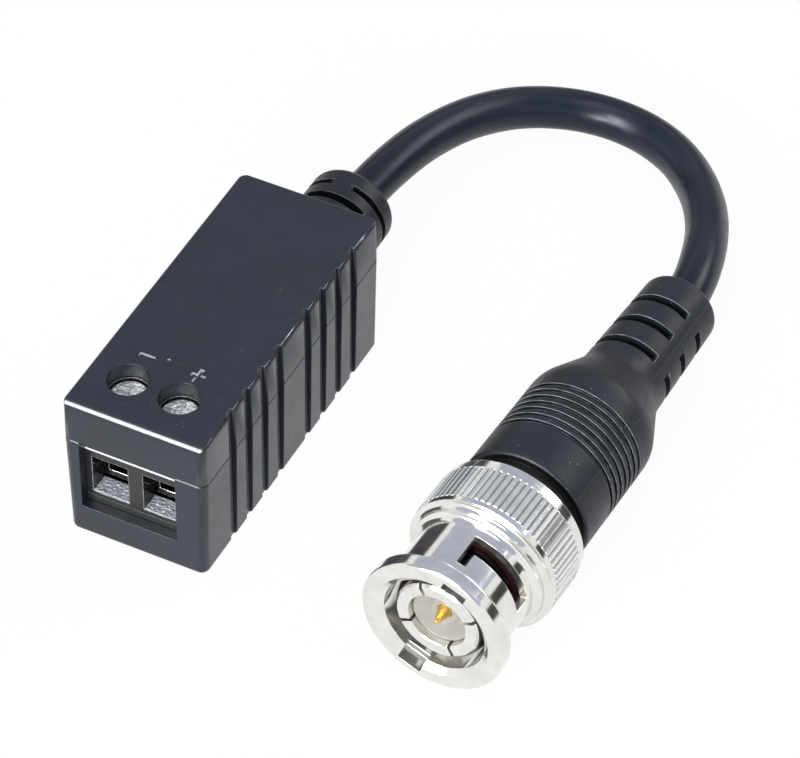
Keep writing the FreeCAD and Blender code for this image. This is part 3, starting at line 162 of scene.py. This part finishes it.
class Recipe(Nodes):
    """A procedural material, built node by node round one Principled BSDF."""

    def __init__(self, name, colour, roughness, metallic=0.0):
        self.material = bpy.data.materials.new(name)
        self.material.use_nodes = True
        super().__init__(self.material.node_tree)
        self.shader = self.tree.nodes["Principled BSDF"]
        self.set("Base Color", (*colour, 1.0))
        self.set("Roughness", roughness)
        self.set("Metallic", metallic)
        self.normal = None

    def set(self, socket, value):
        self.shader.inputs[socket].default_value = value

    def drive(self, socket, value):
        self.tree.links.new(value, self.shader.inputs[socket])

    def place(self):
        return self.node("ShaderNodeTexCoord").outputs["Object"]

    def on_plug(self):
        """Coordinates with the plug's axis along Y and its face at the origin."""
        return self.node("ShaderNodeMapping", ("Vector", self.place()), ("Location", PLUG_FACE),
                         ("Rotation", (0, 0, PLUG_TURN)), vector_type="TEXTURE").outputs["Vector"]

    def round_axis(self):
        """Coordinates (radius, station along the axis, 0) of the plug, for turned marks."""
        x, y, z = self.split(self.on_plug())
        radius = self.math("SQRT", self.math("ADD", self.math("MULTIPLY", x, x),
                                             self.math("MULTIPLY", z, z)))
        return self.node("ShaderNodeCombineXYZ", ("X", radius), ("Y", y)).outputs["Vector"]

    def noise(self, size, vector=None, detail=3.0, roughness=0.5):
        return self.node("ShaderNodeTexNoise", ("Vector", vector or self.place()),
                         ("Scale", 1.0 / size), ("Detail", detail),
                         ("Roughness", roughness)).outputs["Fac"]

    def cells(self, size):
        return self.node("ShaderNodeTexVoronoi", ("Vector", self.place()),
                         ("Scale", 1.0 / size)).outputs["Distance"]

    def plain_normal(self):
        return self.node("ShaderNodeNewGeometry").outputs["Normal"]

    def rounded_normal(self, radius):
        """Normal that the surface has once its edges get a small round."""
        return self.node("ShaderNodeBevel", ("Radius", radius),
                         samples=BEVEL_SAMPLES).outputs["Normal"]

    def soften(self, radius):
        """Edges catch the light as if they had a small round."""
        self.normal = self.rounded_normal(radius)

    def edge_mask(self, radius):
        """1 along edges and 0 on open faces, from how far a small round would turn the normal."""
        along = self.dot(self.rounded_normal(radius), self.plain_normal())
        return self.spread(along, 0.995, 0.86)

    def lit_edges(self, radius, way):
        """Share of light that the small rounds of the edges catch from one direction."""
        toward = self.dot(self.rounded_normal(radius), way)
        return self.math("MULTIPLY", self.edge_mask(radius), self.spread(toward, 0.25, 0.70))

    def bump(self, height, depth):
        before = [("Normal", self.normal)] if self.normal else []
        self.normal = self.node("ShaderNodeBump", ("Height", height), ("Distance", depth),
                                *before).outputs["Normal"]

    def done(self):
        self.drive("Normal", self.normal)
        return self.material


# finishes; the sizes that their functions take are in millimetres
def scaled(colour, factor):
    return [factor * channel for channel in colour]


def box_painted_light(recipe, base):
    """Painted light: paler floors of the grip grooves, and a painted highlight along the top edge
    that faces the front.
    """
    x, _, z = recipe.split(recipe.place())
    normal = recipe.plain_normal()
    sideways = recipe.above(recipe.split(normal)[0], 0.85, 0.05)
    # painted light on the floors of the grip grooves
    painted_floor_light = recipe.math("MULTIPLY", recipe.between(x, *GROOVE_FLOOR, 0.05 * MM), sideways)
    # painted highlight along the top edge that faces the front and up
    edges = recipe.math("MULTIPLY", recipe.above(recipe.dot(normal, BOX_HIGHLIGHT_WAY), 0.9575, 0.0275),
                        recipe.above(z, TOP_EDGE, 0.1 * MM))
    return recipe.blend(edges, recipe.blend(painted_floor_light, base, GROOVE_FLOOR_LIGHT), EDGE_HIGHLIGHT_GREY)


def block_painted_highlight(recipe, base):
    """Painted highlight: a bright line along the edge where the terminal block's front starts to
    lean back.
    """
    _, y, z = recipe.split(recipe.place())
    off = recipe.math("ABSOLUTE", recipe.math("SUBTRACT", z, BLOCK_BEND))
    near = recipe.math("MULTIPLY", recipe.below(off, 0.085 * MM, 0.035 * MM),
                       recipe.below(y, BLOCK_FACE, 0.1 * MM))
    return recipe.blend(near, base, BEND_HIGHLIGHT_GREY)


# Hook for painted light that leaves the colour as it is
def no_painted_light(recipe, base):
    return base


def highlighted_edges(name, colour, edge_highlight_colour, roughness, metallic=0.0, painted_light=no_painted_light):
    """Dark piece whose edges are painted bright as highlights, with a fine uneven grain."""
    recipe = Recipe(name, colour, roughness, metallic)
    cloud = recipe.spread(recipe.noise(0.5 * MM), 0.35, 0.65, 0.55, 1.0)
    # painted highlight along the edges
    edge_highlight = recipe.math("MULTIPLY", recipe.edge_mask(EDGE_ROUND), cloud)
    grain = recipe.noise(0.12 * MM, roughness=0.6)
    body = recipe.blend(recipe.spread(grain, 0.3, 0.7), scaled(colour, 0.85), scaled(colour, 1.2))
    recipe.drive("Base Color", painted_light(recipe, recipe.blend(edge_highlight, body, edge_highlight_colour)))
    recipe.drive("Roughness", recipe.spread(grain, 0.3, 0.7, roughness - 0.04, roughness + 0.05))
    recipe.soften(EDGE_ROUND)
    recipe.bump(grain, 0.003 * MM)
    return recipe.done()


def dusted(recipe, colour, dust, size, amount):
    """Colour with a slow drift and a sparse scatter of pale specks."""
    drift = recipe.spread(recipe.noise(6.0 * MM), 0.3, 0.7)
    base = recipe.blend(drift, scaled(colour, 0.86), scaled(colour, 1.14))
    near = recipe.spread(recipe.cells(size), 0.0, amount, 1.0, 0.0)
    pick = recipe.above(recipe.noise(2.3 * size, detail=0.0), 0.64, 0.02)
    return recipe.blend(recipe.math("MULTIPLY", near, pick), base, dust)


def moulded(name, colour, roughness, grain, depth, edge, dust=(0.45, 0.47, 0.50), gloss=0.5,
            painted_light=no_painted_light):
    """Moulded plastic: eroded grain, a slow change of gloss and a few specks."""
    recipe = Recipe(name, colour, roughness)
    recipe.set("Specular IOR Level", gloss)
    recipe.drive("Base Color", painted_light(recipe, dusted(recipe, colour, dust, 0.55 * MM, 0.09)))
    recipe.drive("Roughness", recipe.spread(recipe.noise(2.5 * MM, detail=4.0), 0.3, 0.7,
                                            roughness - 0.05, roughness + 0.05))
    recipe.soften(edge * MM)
    recipe.bump(recipe.noise(grain * MM, roughness=0.6), depth * MM)
    return recipe.done()


def turned(name, colour, roughness, depth, edge, metallic=1.0, on_plug=True):
    """Plated metal with the fine rings that turning leaves under the plating.

    On the plug, shade is painted darker into the depth of the bore and between the ridges of the
    knurl.
    """
    recipe = Recipe(name, colour, roughness, metallic)
    along = recipe.round_axis() if on_plug else recipe.place()
    rings = recipe.noise(0.08 * MM, along, roughness=0.6)
    cloud = recipe.noise(1.6 * MM, detail=4.0)
    clean = recipe.blend(recipe.spread(cloud, 0.35, 0.7), scaled(colour, 0.90), colour)
    if on_plug:
        radius, station, _ = recipe.split(along)
        knurled = recipe.between(station, KNURL_START, KNURL_END, 0.03 * MM)
        # painted shade in the bore and between the knurl's ridges
        painted_bore_shade = recipe.math("MULTIPLY", recipe.below(radius, BORE_RADIUS, 0.02 * MM),
                             recipe.above(station, BORE_SHADE_START, 0.6 * MM))
        painted_knurl_shade = recipe.math("MULTIPLY", recipe.below(radius, KNURL_FLOOR, 0.05 * MM), knurled)
        shade = recipe.math("MAXIMUM", recipe.math("MULTIPLY", painted_bore_shade, 0.88),
                            recipe.math("MULTIPLY", painted_knurl_shade, 0.45))
        clean = recipe.blend(shade, clean, PAINTED_BORE_SHADE)
        recipe.drive("Metallic", recipe.spread(knurled, 0.0, 1.0, metallic, min(metallic, 0.78)))
    recipe.drive("Base Color", clean)
    recipe.drive("Roughness", recipe.math("ADD", recipe.spread(rings, 0.3, 0.7, -0.04, 0.05),
                                          recipe.spread(cloud, 0.3, 0.7, roughness - 0.03,
                                                        roughness + 0.05)))
    recipe.soften(edge * MM)
    recipe.bump(rings, depth * MM)
    return recipe.done()


def pitted(name, colour, roughness, edge, metallic):
    """Stamped and plated steel: dents, scratches and a sandy zinc finish."""
    recipe = Recipe(name, colour, roughness, metallic)
    cloud = recipe.noise(0.5 * MM)
    recipe.drive("Base Color", recipe.blend(recipe.spread(cloud, 0.35, 0.6), scaled(colour, 0.66),
                                            colour))
    recipe.drive("Roughness", recipe.spread(cloud, 0.3, 0.7, roughness + 0.12, roughness - 0.04))
    recipe.soften(edge * MM)
    recipe.bump(recipe.cells(0.34 * MM), 0.09 * MM)
    recipe.bump(recipe.noise(0.10 * MM, roughness=0.65), 0.03 * MM)
    return recipe.done()


def boot_finish(name, colour, dust):
    """Grained soft plastic with the fine line that the halves of the boot's mould leave.

    Edges that face the light get a painted highlight in the dust colour, and the neck inside the
    nut gets painted shade.
    """
    recipe = Recipe(name, colour, 0.42)
    recipe.set("Specular IOR Level", 0.36)
    body = dusted(recipe, colour, dust, 0.50 * MM, 0.12)
    # painted highlight on edges facing the light, and painted shade on the neck
    boot_edge_highlight = recipe.math("MULTIPLY", recipe.lit_edges(0.09 * MM, BOOT_HIGHLIGHT_WAY),
                        recipe.spread(recipe.noise(0.9 * MM), 0.35, 0.6, 0.35, 1.0))
    x, y, z = recipe.split(recipe.on_plug())
    neck_shade = recipe.below(y, BARREL_START, 0.03 * MM)
    recipe.drive("Base Color", recipe.blend(neck_shade, recipe.blend(boot_edge_highlight, body, dust), PAINTED_NECK_SHADE))
    recipe.drive("Roughness", recipe.spread(recipe.noise(2.0 * MM, detail=4.0), 0.3, 0.7,
                                            0.36, 0.48))
    recipe.soften(0.10 * MM)
    recipe.bump(recipe.noise(0.18 * MM, roughness=0.6), 0.020 * MM)
    off = recipe.math("SUBTRACT", recipe.math("MULTIPLY", z, math.cos(MOULD_LINE)),
                      recipe.math("MULTIPLY", x, math.sin(MOULD_LINE)))
    recipe.bump(recipe.below(recipe.math("ABSOLUTE", off), 0.06 * MM, 0.03 * MM), 0.03 * MM)
    return recipe.done()


FINISHES = {
    # moulded: colour, roughness, grain, depth, edge
    "housing_plastic": (moulded, ((0.013, 0.016, 0.0255), 0.31, 0.13, 0.0022, 0.10),
                        {"painted_light": box_painted_light}),
    "cable_jacket": (moulded, ((0.0078, 0.0120, 0.0240), 0.33, 0.30, 0.003, 0.05),
                     {"gloss": 0.27}),
    "contact_insulator": (moulded, ((0.31, 0.30, 0.27), 0.35, 0.2, 0.002, 0.06),
                          {"dust": (0.5, 0.5, 0.46)}),
    "gasket_rubber": (moulded, ((0.055, 0.005, 0.005), 0.55, 0.2, 0.004, 0.05),
                      {"dust": (0.2, 0.04, 0.03)}),
    "board_laminate": (moulded, ((0.012, 0.016, 0.013), 0.35, 0.25, 0.003, 0.04), {}),
    "ferrite": (moulded, ((0.035, 0.034, 0.033), 0.6, 0.12, 0.01, 0.08), {}),
    "suppressor_epoxy": (moulded, ((0.014, 0.014, 0.014), 0.55, 0.12, 0.006, 0.05), {}),
    "chip_ceramic": (moulded, ((0.36, 0.24, 0.13), 0.45, 0.2, 0.003, 0.04), {}),
    "cable_dielectric": (moulded, ((0.72, 0.72, 0.70), 0.4, 0.3, 0.003, 0.04),
                         {"dust": (0.5, 0.5, 0.5)}),
    # paler colour of the marks' sloping walls is a painted highlight
    "mark_wall": (moulded, ((0.34, 0.35, 0.37), 0.25, 0.13, 0.002, 0.01), {}),
    # boot_finish: colour, dust (also the colour of the painted edge highlights)
    "boot_rubber": (boot_finish, ((0.0105, 0.0128, 0.0195), (0.62, 0.64, 0.67)), {}),
    # highlighted_edges: colour, colour of the painted edge highlights, roughness
    "terminal_plastic": (highlighted_edges, ((0.012, 0.0125, 0.0135), (0.60, 0.61, 0.63), 0.26),
                         {"painted_light": block_painted_highlight}),
    # near-black steel here is painted shade of the block's inside; its edges get painted highlights
    "clamp_steel": (highlighted_edges, ((0.05, 0.05, 0.052), (0.95, 0.95, 0.93), 0.28),
                    {"metallic": 1.0}),
    # turned: colour, roughness, depth, edge
    "nickel_plate": (turned, ((0.83, 0.82, 0.78), 0.10, 0.0012, 0.08), {"metallic": 0.95}),
    "gold_plate": (turned, ((0.95, 0.62, 0.14), 0.12, 0.001, 0.04), {}),
    "spring_steel": (turned, ((0.62, 0.61, 0.60), 0.25, 0.001, 0.04), {}),
    "tinned_brass": (turned, ((0.82, 0.81, 0.77), 0.22, 0.004, 0.12), {"on_plug": False}),
    "copper_wire": (turned, ((0.80, 0.38, 0.20), 0.25, 0.002, 0.03), {"on_plug": False}),
    # pitted: colour, roughness, edge, metallic
    "plated_steel": (pitted, ((0.96, 0.98, 0.97), 0.26, 0.12, 0.6), {}),
    "zinc_plate": (pitted, ((0.62, 0.65, 0.70), 0.38, 0.05, 0.25), {}),
}
MATERIALS = {name: make(name, *values, **extras)
             for name, (make, values, extras) in FINISHES.items()}


def dress(thing, finish):
    thing.data.materials.clear()
    thing.data.materials.append(MATERIALS[finish])


for entry in frame["record"]["subparts"]:
    dress(nodes[entry["node"]], entry["material_slot"])
for pole in ("minus", "plus"):
    dress(nodes[f"clamp_cage_{pole}"], "clamp_steel")


# small forms of the box
def in_scene(name, data):
    thing = bpy.data.objects.new(name, data)
    bpy.context.scene.collection.objects.link(thing)
    return thing


def mesh_piece(name, mesh, slot):
    """Piece that rides on the box, in the finish of one of the record's slots."""
    thing = in_scene(name, mesh)
    dress(thing, slot)
    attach(thing, "root")
    return thing


def mesh_of(form, name):
    """Mesh of a closed form, with its faces turned outwards."""
    bmesh.ops.recalc_face_normals(form, faces=form.faces)
    mesh = bpy.data.meshes.new(name)
    form.to_mesh(mesh)
    form.free()
    return mesh


def smooth(mesh, angle):
    """Smooth shading, apart from edges sharper than the angle in degrees."""
    for polygon in mesh.polygons:
        polygon.use_smooth = True
    mesh.set_sharp_from_angle(angle=math.radians(angle))


BOX_TOP = 15.6 * MM
MARK_DEPTH = 0.18 * MM
MARK_STROKE = 0.44 * MM
MARK_SLOPE = 0.09 * MM
MARK_REACH = 1.2 * MM
MARK_WELD = 0.0005 * MM
MARK_FLAT = math.radians(0.25)


def engraver(name, outline, centre, slope=MARK_SLOPE):
    """Wedge-sided cutter that leaves a groove narrower at its bottom."""
    low, high = BOX_TOP - MARK_DEPTH, BOX_TOP + MARK_DEPTH
    count = len(outline)
    middle = Vector(centre)
    points = []
    for height, share in ((low, -slope), (high, slope)):
        for corner in outline:
            away = Vector(corner) - middle
            points.append((corner[0] + share * math.copysign(1.0, away.x),
                           corner[1] + share * math.copysign(1.0, away.y), height))
    faces = [tuple(reversed(range(count))), tuple(range(count, 2 * count))]
    faces += [(i, (i + 1) % count, count + (i + 1) % count, count + i) for i in range(count)]
    mesh = bpy.data.meshes.new(name)
    mesh.from_pydata(points, [], faces)
    return in_scene(name, mesh)


def round_centre(centre, offsets):
    return [(centre[0] + dx, centre[1] + dy) for dx, dy in offsets]


def bar_outline(centre, half_x, half_y):
    return round_centre(centre, [(-half_x, -half_y), (half_x, -half_y),
                                 (half_x, half_y), (-half_x, half_y)])


def plus_outline(centre, half_x, half_y, stroke):
    s = stroke / 2
    return round_centre(centre, [
        (-half_x, -s), (-s, -s), (-s, -half_y), (s, -half_y), (s, -s), (half_x, -s),
        (half_x, s), (s, s), (s, half_y), (-s, half_y), (-s, s), (-half_x, s)])


def dot_outline(centre, radius, corners=10):
    return round_centre(centre, [(radius * math.cos(math.tau * i / corners),
                                  radius * math.sin(math.tau * i / corners))
                                 for i in range(corners)])


MINUS_CENTRE = (-2.99 * MM, -8.30 * MM)
MINUS_HALF = 0.77 * MM
PLUS_CENTRE = (2.15 * MM, -8.45 * MM)
PLUS_HALF_X = 0.68 * MM
PLUS_HALF_Y = 0.88 * MM
GATE_CENTRE = (-1.07 * MM, -7.86 * MM)
GATE_RADIUS = 0.16 * MM
GATE_SLOPE = 0.04 * MM
cutters = [
    engraver("minus_cutter", bar_outline(MINUS_CENTRE, MINUS_HALF, MARK_STROKE / 2), MINUS_CENTRE),
    engraver("plus_cutter", plus_outline(PLUS_CENTRE, PLUS_HALF_X, PLUS_HALF_Y, MARK_STROKE),
             PLUS_CENTRE),
    engraver("gate_cutter", dot_outline(GATE_CENTRE, GATE_RADIUS), GATE_CENTRE, GATE_SLOPE),
]
plain_cover = nodes["top_cover"]
blank = in_scene("cover_blank", plain_cover.data.copy())
blank.matrix_world = plain_cover.matrix_world.copy()
for cutter in cutters:
    cut = blank.modifiers.new(cutter.name, "BOOLEAN")
    cut.operation = "DIFFERENCE"
    cut.solver = "EXACT"
    cut.object = cutter
bpy.context.view_layer.update()
marked = bpy.data.meshes.new_from_object(blank.evaluated_get(bpy.context.evaluated_depsgraph_get()))
marked.transform(plain_cover.matrix_world)
for thing in [blank, *cutters]:
    bpy.data.objects.remove(thing)
marked.name = "marked_cover"
form = bmesh.new()
form.from_mesh(marked)
bmesh.ops.remove_doubles(form, verts=form.verts, dist=MARK_WELD)
bmesh.ops.dissolve_limit(form, angle_limit=MARK_FLAT, verts=form.verts, edges=form.edges)
form.to_mesh(marked)
form.free()
smooth(marked, 40)
marked_cover = mesh_piece("marked_cover", marked, "housing_plastic")
# The sloping walls of the marks get a paler colour, a painted highlight
marked.materials.append(MATERIALS["mark_wall"])
for polygon in marked.polygons:
    sunk = MARK_DEPTH * 0.1 < BOX_TOP - polygon.center.z < MARK_DEPTH * 0.9
    sloping = 0.1 < polygon.normal.z < 0.97
    around = min((polygon.center.xy - Vector(centre)).length
                 for centre in (MINUS_CENTRE, PLUS_CENTRE, GATE_CENTRE)) < MARK_REACH
    polygon.material_index = int(sunk and sloping and around)
even = marked_cover.modifiers.new("even", "WEIGHTED_NORMAL")
even.weight = 100
even.keep_sharp = True
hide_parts("top_cover")


PLATE_WIDTH = 3.54 * MM
PLATE_FRONT = -15.46 * MM
PLATE_REAR = -13.62 * MM
PLATE_BOTTOM = 4.56 * MM
PLATE_THICKNESS = 0.12 * MM
PLATE_COLUMNS = 36
PLATE_ROWS = 19
LIFT_SIZE = 0.17 * MM
LIFT_LEVEL = 0.3 * MM
LIFT_HEIGHT = 0.05 * MM


def mouth_plate(name, x):
    """Plate on the floor of a wire mouth, with the rough top of torn sheet metal."""
    form = bmesh.new()
    grid = []
    for j in range(PLATE_ROWS + 1):
        y = PLATE_FRONT + (PLATE_REAR - PLATE_FRONT) * j / PLATE_ROWS
        for i in range(PLATE_COLUMNS + 1):
            px = x - PLATE_WIDTH / 2 + PLATE_WIDTH * i / PLATE_COLUMNS
            inner = min(i, PLATE_COLUMNS - i, j, PLATE_ROWS - j) > 0
            lift = noise.noise(Vector((px, y, LIFT_LEVEL)) / LIFT_SIZE) * LIFT_HEIGHT
            top = PLATE_BOTTOM + PLATE_THICKNESS + (lift if inner else 0.0)
            grid.append(form.verts.new((px, y, top)))
    across = PLATE_COLUMNS + 1
    for j in range(PLATE_ROWS):
        for i in range(PLATE_COLUMNS):
            a = j * across + i
            form.faces.new((grid[a], grid[a + 1], grid[a + across + 1], grid[a + across]))
    rim = (grid[:across] + grid[2 * across - 1::across] + grid[-2:-across - 1:-1]
           + grid[(PLATE_ROWS - 1) * across:0:-across])
    foot = [form.verts.new((v.co.x, v.co.y, PLATE_BOTTOM)) for v in rim]
    for i in range(len(rim)):
        k = (i + 1) % len(rim)
        form.faces.new((rim[k], rim[i], foot[i], foot[k]))
    form.faces.new(list(reversed(foot)))
    thing = mesh_piece(name, mesh_of(form, name), "plated_steel")
    thing.data.materials[0] = MATERIALS["zinc_plate"]


mouth_plate("mouth_plate_minus", -3.02 * MM)
mouth_plate("mouth_plate_plus", 2.06 * MM)


# front of the plug
REVOLVED_STEPS = 96


def revolved(name, slot, profile, slits=0, slit_width=0.0, slit_angle=0.0):
    """Closed profile turned round the plug's axis and cut by slits.

    Its points are (radius, station), and they and the slits' width are in millimetres.
    """
    form = bmesh.new()
    parts = max(slits, 1)
    turns = REVOLVED_STEPS // parts
    for part in range(parts):
        rows = []
        for i in range(turns + (1 if slits else 0)):
            row = []
            for radius, station in profile:
                margin = math.asin(slit_width / 2 / radius)
                start = slit_angle + math.tau * part / parts + margin
                angle = start + (math.tau / parts - 2 * margin) * i / turns
                point = Vector((radius * math.cos(angle), station, radius * math.sin(angle)))
                row.append(form.verts.new(point * MM))
            rows.append(row)
        for i in range(turns):
            here, there = rows[i], rows[(i + 1) % len(rows)]
            for j in range(len(profile)):
                k = (j + 1) % len(profile)
                form.faces.new((here[j], here[k], there[k], there[j]))
        if slits:
            form.faces.new(rows[0])
            form.faces.new(list(reversed(rows[-1])))
    form.transform(Matrix.Translation(PLUG_FACE) @ Matrix.Rotation(PLUG_TURN, 4, "Z"))
    mesh = mesh_of(form, name)
    smooth(mesh, 30)
    mesh_piece(name, mesh, slot)


revolved("contact_lip", "nickel_plate",
         [(2.86, 0.35), (3.83, 0.35), (4.055, 0.58), (4.055, 1.40), (3.36, 1.74), (2.77, 1.74),
          (2.77, 0.44)],
         slits=4, slit_width=0.35, slit_angle=math.radians(25.0))
revolved("insulator_face", "contact_insulator",
         [(0.70, 1.80), (1.25, 1.78), (2.25, 1.12), (2.62, 1.05), (2.73, 1.14), (2.73, 1.95),
          (0.70, 1.95)])
revolved("pin_tip", "gold_plate",
         [(0.002, 0.2), (0.10, 0.2), (0.16, 0.26), (0.68, 1.86), (0.68, 2.40), (0.002, 2.40)])


# cable
# The same points as the cable's route in the part's source, here in metres
CABLE_POINTS = [
    (0.0, 0.013, 0.00765),
    (0.00002, 0.0192, 0.00765),
    (0.0, 0.0254, 0.00765),
    (0.00056, 0.03153, 0.00745),
    (0.00148, 0.03743, 0.0067),
    (0.00329, 0.0436, 0.0053),
    (0.00647, 0.04884, 0.0037),
    (0.01131, 0.0521, 0.00245),
    (0.01674, 0.05242, 0.00208),
    (0.02194, 0.04999, 0.00255),
    (0.02629, 0.04537, 0.0036),
    (0.02934, 0.04013, 0.0051),
    (0.0314, 0.03449, 0.00655),
    (0.0326, 0.0286, 0.00715),
    (0.032238, 0.02164, 0.00715),
    (0.03183, 0.01495, 0.00715),
    (0.031502, 0.00826, 0.00715),
    (0.031114, 0.00157, 0.00715),
]
CABLE_DIAMETER = 0.0041
route = bpy.data.curves.new("cable_jacket", "CURVE")
route.dimensions = "3D"
spline = route.splines.new("NURBS")
spline.points.add(len(CABLE_POINTS) - 1)
for point, place in zip(spline.points, CABLE_POINTS):
    point.co = (*place, 1.0)
spline.order_u = 3
spline.use_endpoint_u = True
route.resolution_u = 10
route.bevel_depth = CABLE_DIAMETER / 2
route.bevel_resolution = 8
route.use_fill_caps = True
cable = in_scene("cable_jacket", route)
dress(cable, "cable_jacket")
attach(cable, "root")
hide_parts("cable")


# floor, world and lamps
WHITE = (1.0, 1.0, 1.0)
FLOOR_HALF = 3.0
FLOOR_SHADOW = 0.05
SKY = (0.40, 0.43, 0.50)


def cleared(owner):
    """Emptied node tree of a material or world."""
    owner.use_nodes = True
    owner.node_tree.nodes.clear()
    return Nodes(owner.node_tree)


def seen_directly(tree):
    """1 for camera, glossy and transmission rays, 0 for the rest."""
    rays = tree.node("ShaderNodeLightPath").outputs
    both = tree.math("ADD", rays["Is Camera Ray"], rays["Is Glossy Ray"])
    return tree.math("ADD", both, rays["Is Transmission Ray"], use_clamp=True)


def shader(tree, kind, colour, *inputs):
    return tree.node(kind, ("Color", (*colour, 1.0)), *inputs).outputs[0]


def flat_mesh(name, points, faces):
    mesh = bpy.data.meshes.new(name)
    mesh.from_pydata(points, [], faces)
    thing = in_scene(name, mesh)
    return thing


def square(half, height):
    return [(-half, -half, height), (half, -half, height), (half, half, height),
            (-half, half, height)]


floor = flat_mesh("floor", square(FLOOR_HALF, 0), [(0, 1, 2, 3)])
floor_material = bpy.data.materials.new("floor_paper")
tree = cleared(floor_material)
direct = tree.math("MULTIPLY", seen_directly(tree), 1.0 - FLOOR_SHADOW)
surface = tree.node("ShaderNodeMixShader", (0, direct),
                    (1, shader(tree, "ShaderNodeBsdfDiffuse", (0.9, 0.9, 0.9))),
                    (2, shader(tree, "ShaderNodeEmission", WHITE))).outputs[0]
tree.node("ShaderNodeOutputMaterial", ("Surface", surface))
floor.data.materials.append(floor_material)

world = bpy.data.worlds.new("studio")
bpy.context.scene.world = world
tree = cleared(world)
surface = tree.node("ShaderNodeMixShader", (0, seen_directly(tree)),
                    (1, shader(tree, "ShaderNodeBackground", SKY)),
                    (2, shader(tree, "ShaderNodeBackground", WHITE))).outputs[0]
tree.node("ShaderNodeOutputWorld", ("Surface", surface))


def card(name, points, faces, colour, strength=1.0):
    """Part of the studio that only shows in the object's gloss."""
    thing = flat_mesh(name, points, faces)
    material = bpy.data.materials.new(name)
    tree = cleared(material)
    glow = shader(tree, "ShaderNodeEmission", colour, ("Strength", strength))
    tree.node("ShaderNodeOutputMaterial", ("Surface", glow))
    thing.data.materials.append(material)
    thing.visible_camera = False
    thing.visible_diffuse = False
    thing.visible_shadow = False
    thing.visible_transmission = False


def curved_card(name, radius, start, end, height, colour, steps=24):
    """Upright card bent round the object, between two directions in degrees."""
    points = []
    for i in range(steps + 1):
        angle = math.radians(start + (end - start) * i / steps)
        x, y = radius * math.cos(angle), radius * math.sin(angle)
        points += [(x, y, 0.0), (x, y, height)]
    faces = [(2 * i, 2 * i + 2, 2 * i + 3, 2 * i + 1) for i in range(steps)]
    card(name, points, faces, colour)


def tilted_card(name, way, distance, half_width, half_height, strength):
    """White card that faces the object from one direction."""
    way = Vector(way).normalized()
    side = Vector((0, 0, 1)).cross(way).normalized()
    rise = way.cross(side)
    points = [way * distance + side * (a * half_width) + rise * (b * half_height)
              for a, b in ((-1, -1), (1, -1), (1, 1), (-1, 1))]
    card(name, points, [(0, 1, 2, 3)], WHITE, strength)


card("ceiling", square(half=2.2, height=1.4), [(0, 1, 2, 3)], colour=(0.47, 0.51, 0.62))
tilted_card("edge_light", way=(-0.32, -0.70, 0.64), distance=1.1, half_width=0.20,
            half_height=0.40, strength=22.0)
curved_card("rear_flag", radius=1.2, start=15.0, end=160.0, height=0.34,
            colour=(0.02, 0.02, 0.022))

LAMP_AIM = Vector((0.015, 0.01, 0.0))


def lamp(name, place, size, watts):
    """Rectangular lamp that faces the middle of the object."""
    data = bpy.data.lights.new(name, "AREA")
    data.shape = "RECTANGLE"
    data.size, data.size_y = size
    data.energy = watts
    thing = in_scene(name, data)
    thing.location = place
    thing.rotation_mode = "QUATERNION"
    thing.rotation_quaternion = (Vector(place) - LAMP_AIM).to_track_quat("Z", "Y")


lamp("key", place=(0.10, -0.95, 0.50), size=(0.40, 0.30), watts=11.0)
lamp("overhead", place=(0.05, 0.10, 0.95), size=(0.7, 0.5), watts=2.2)
lamp("rim", place=(0.45, 0.75, 0.45), size=(0.5, 0.25), watts=2.0)
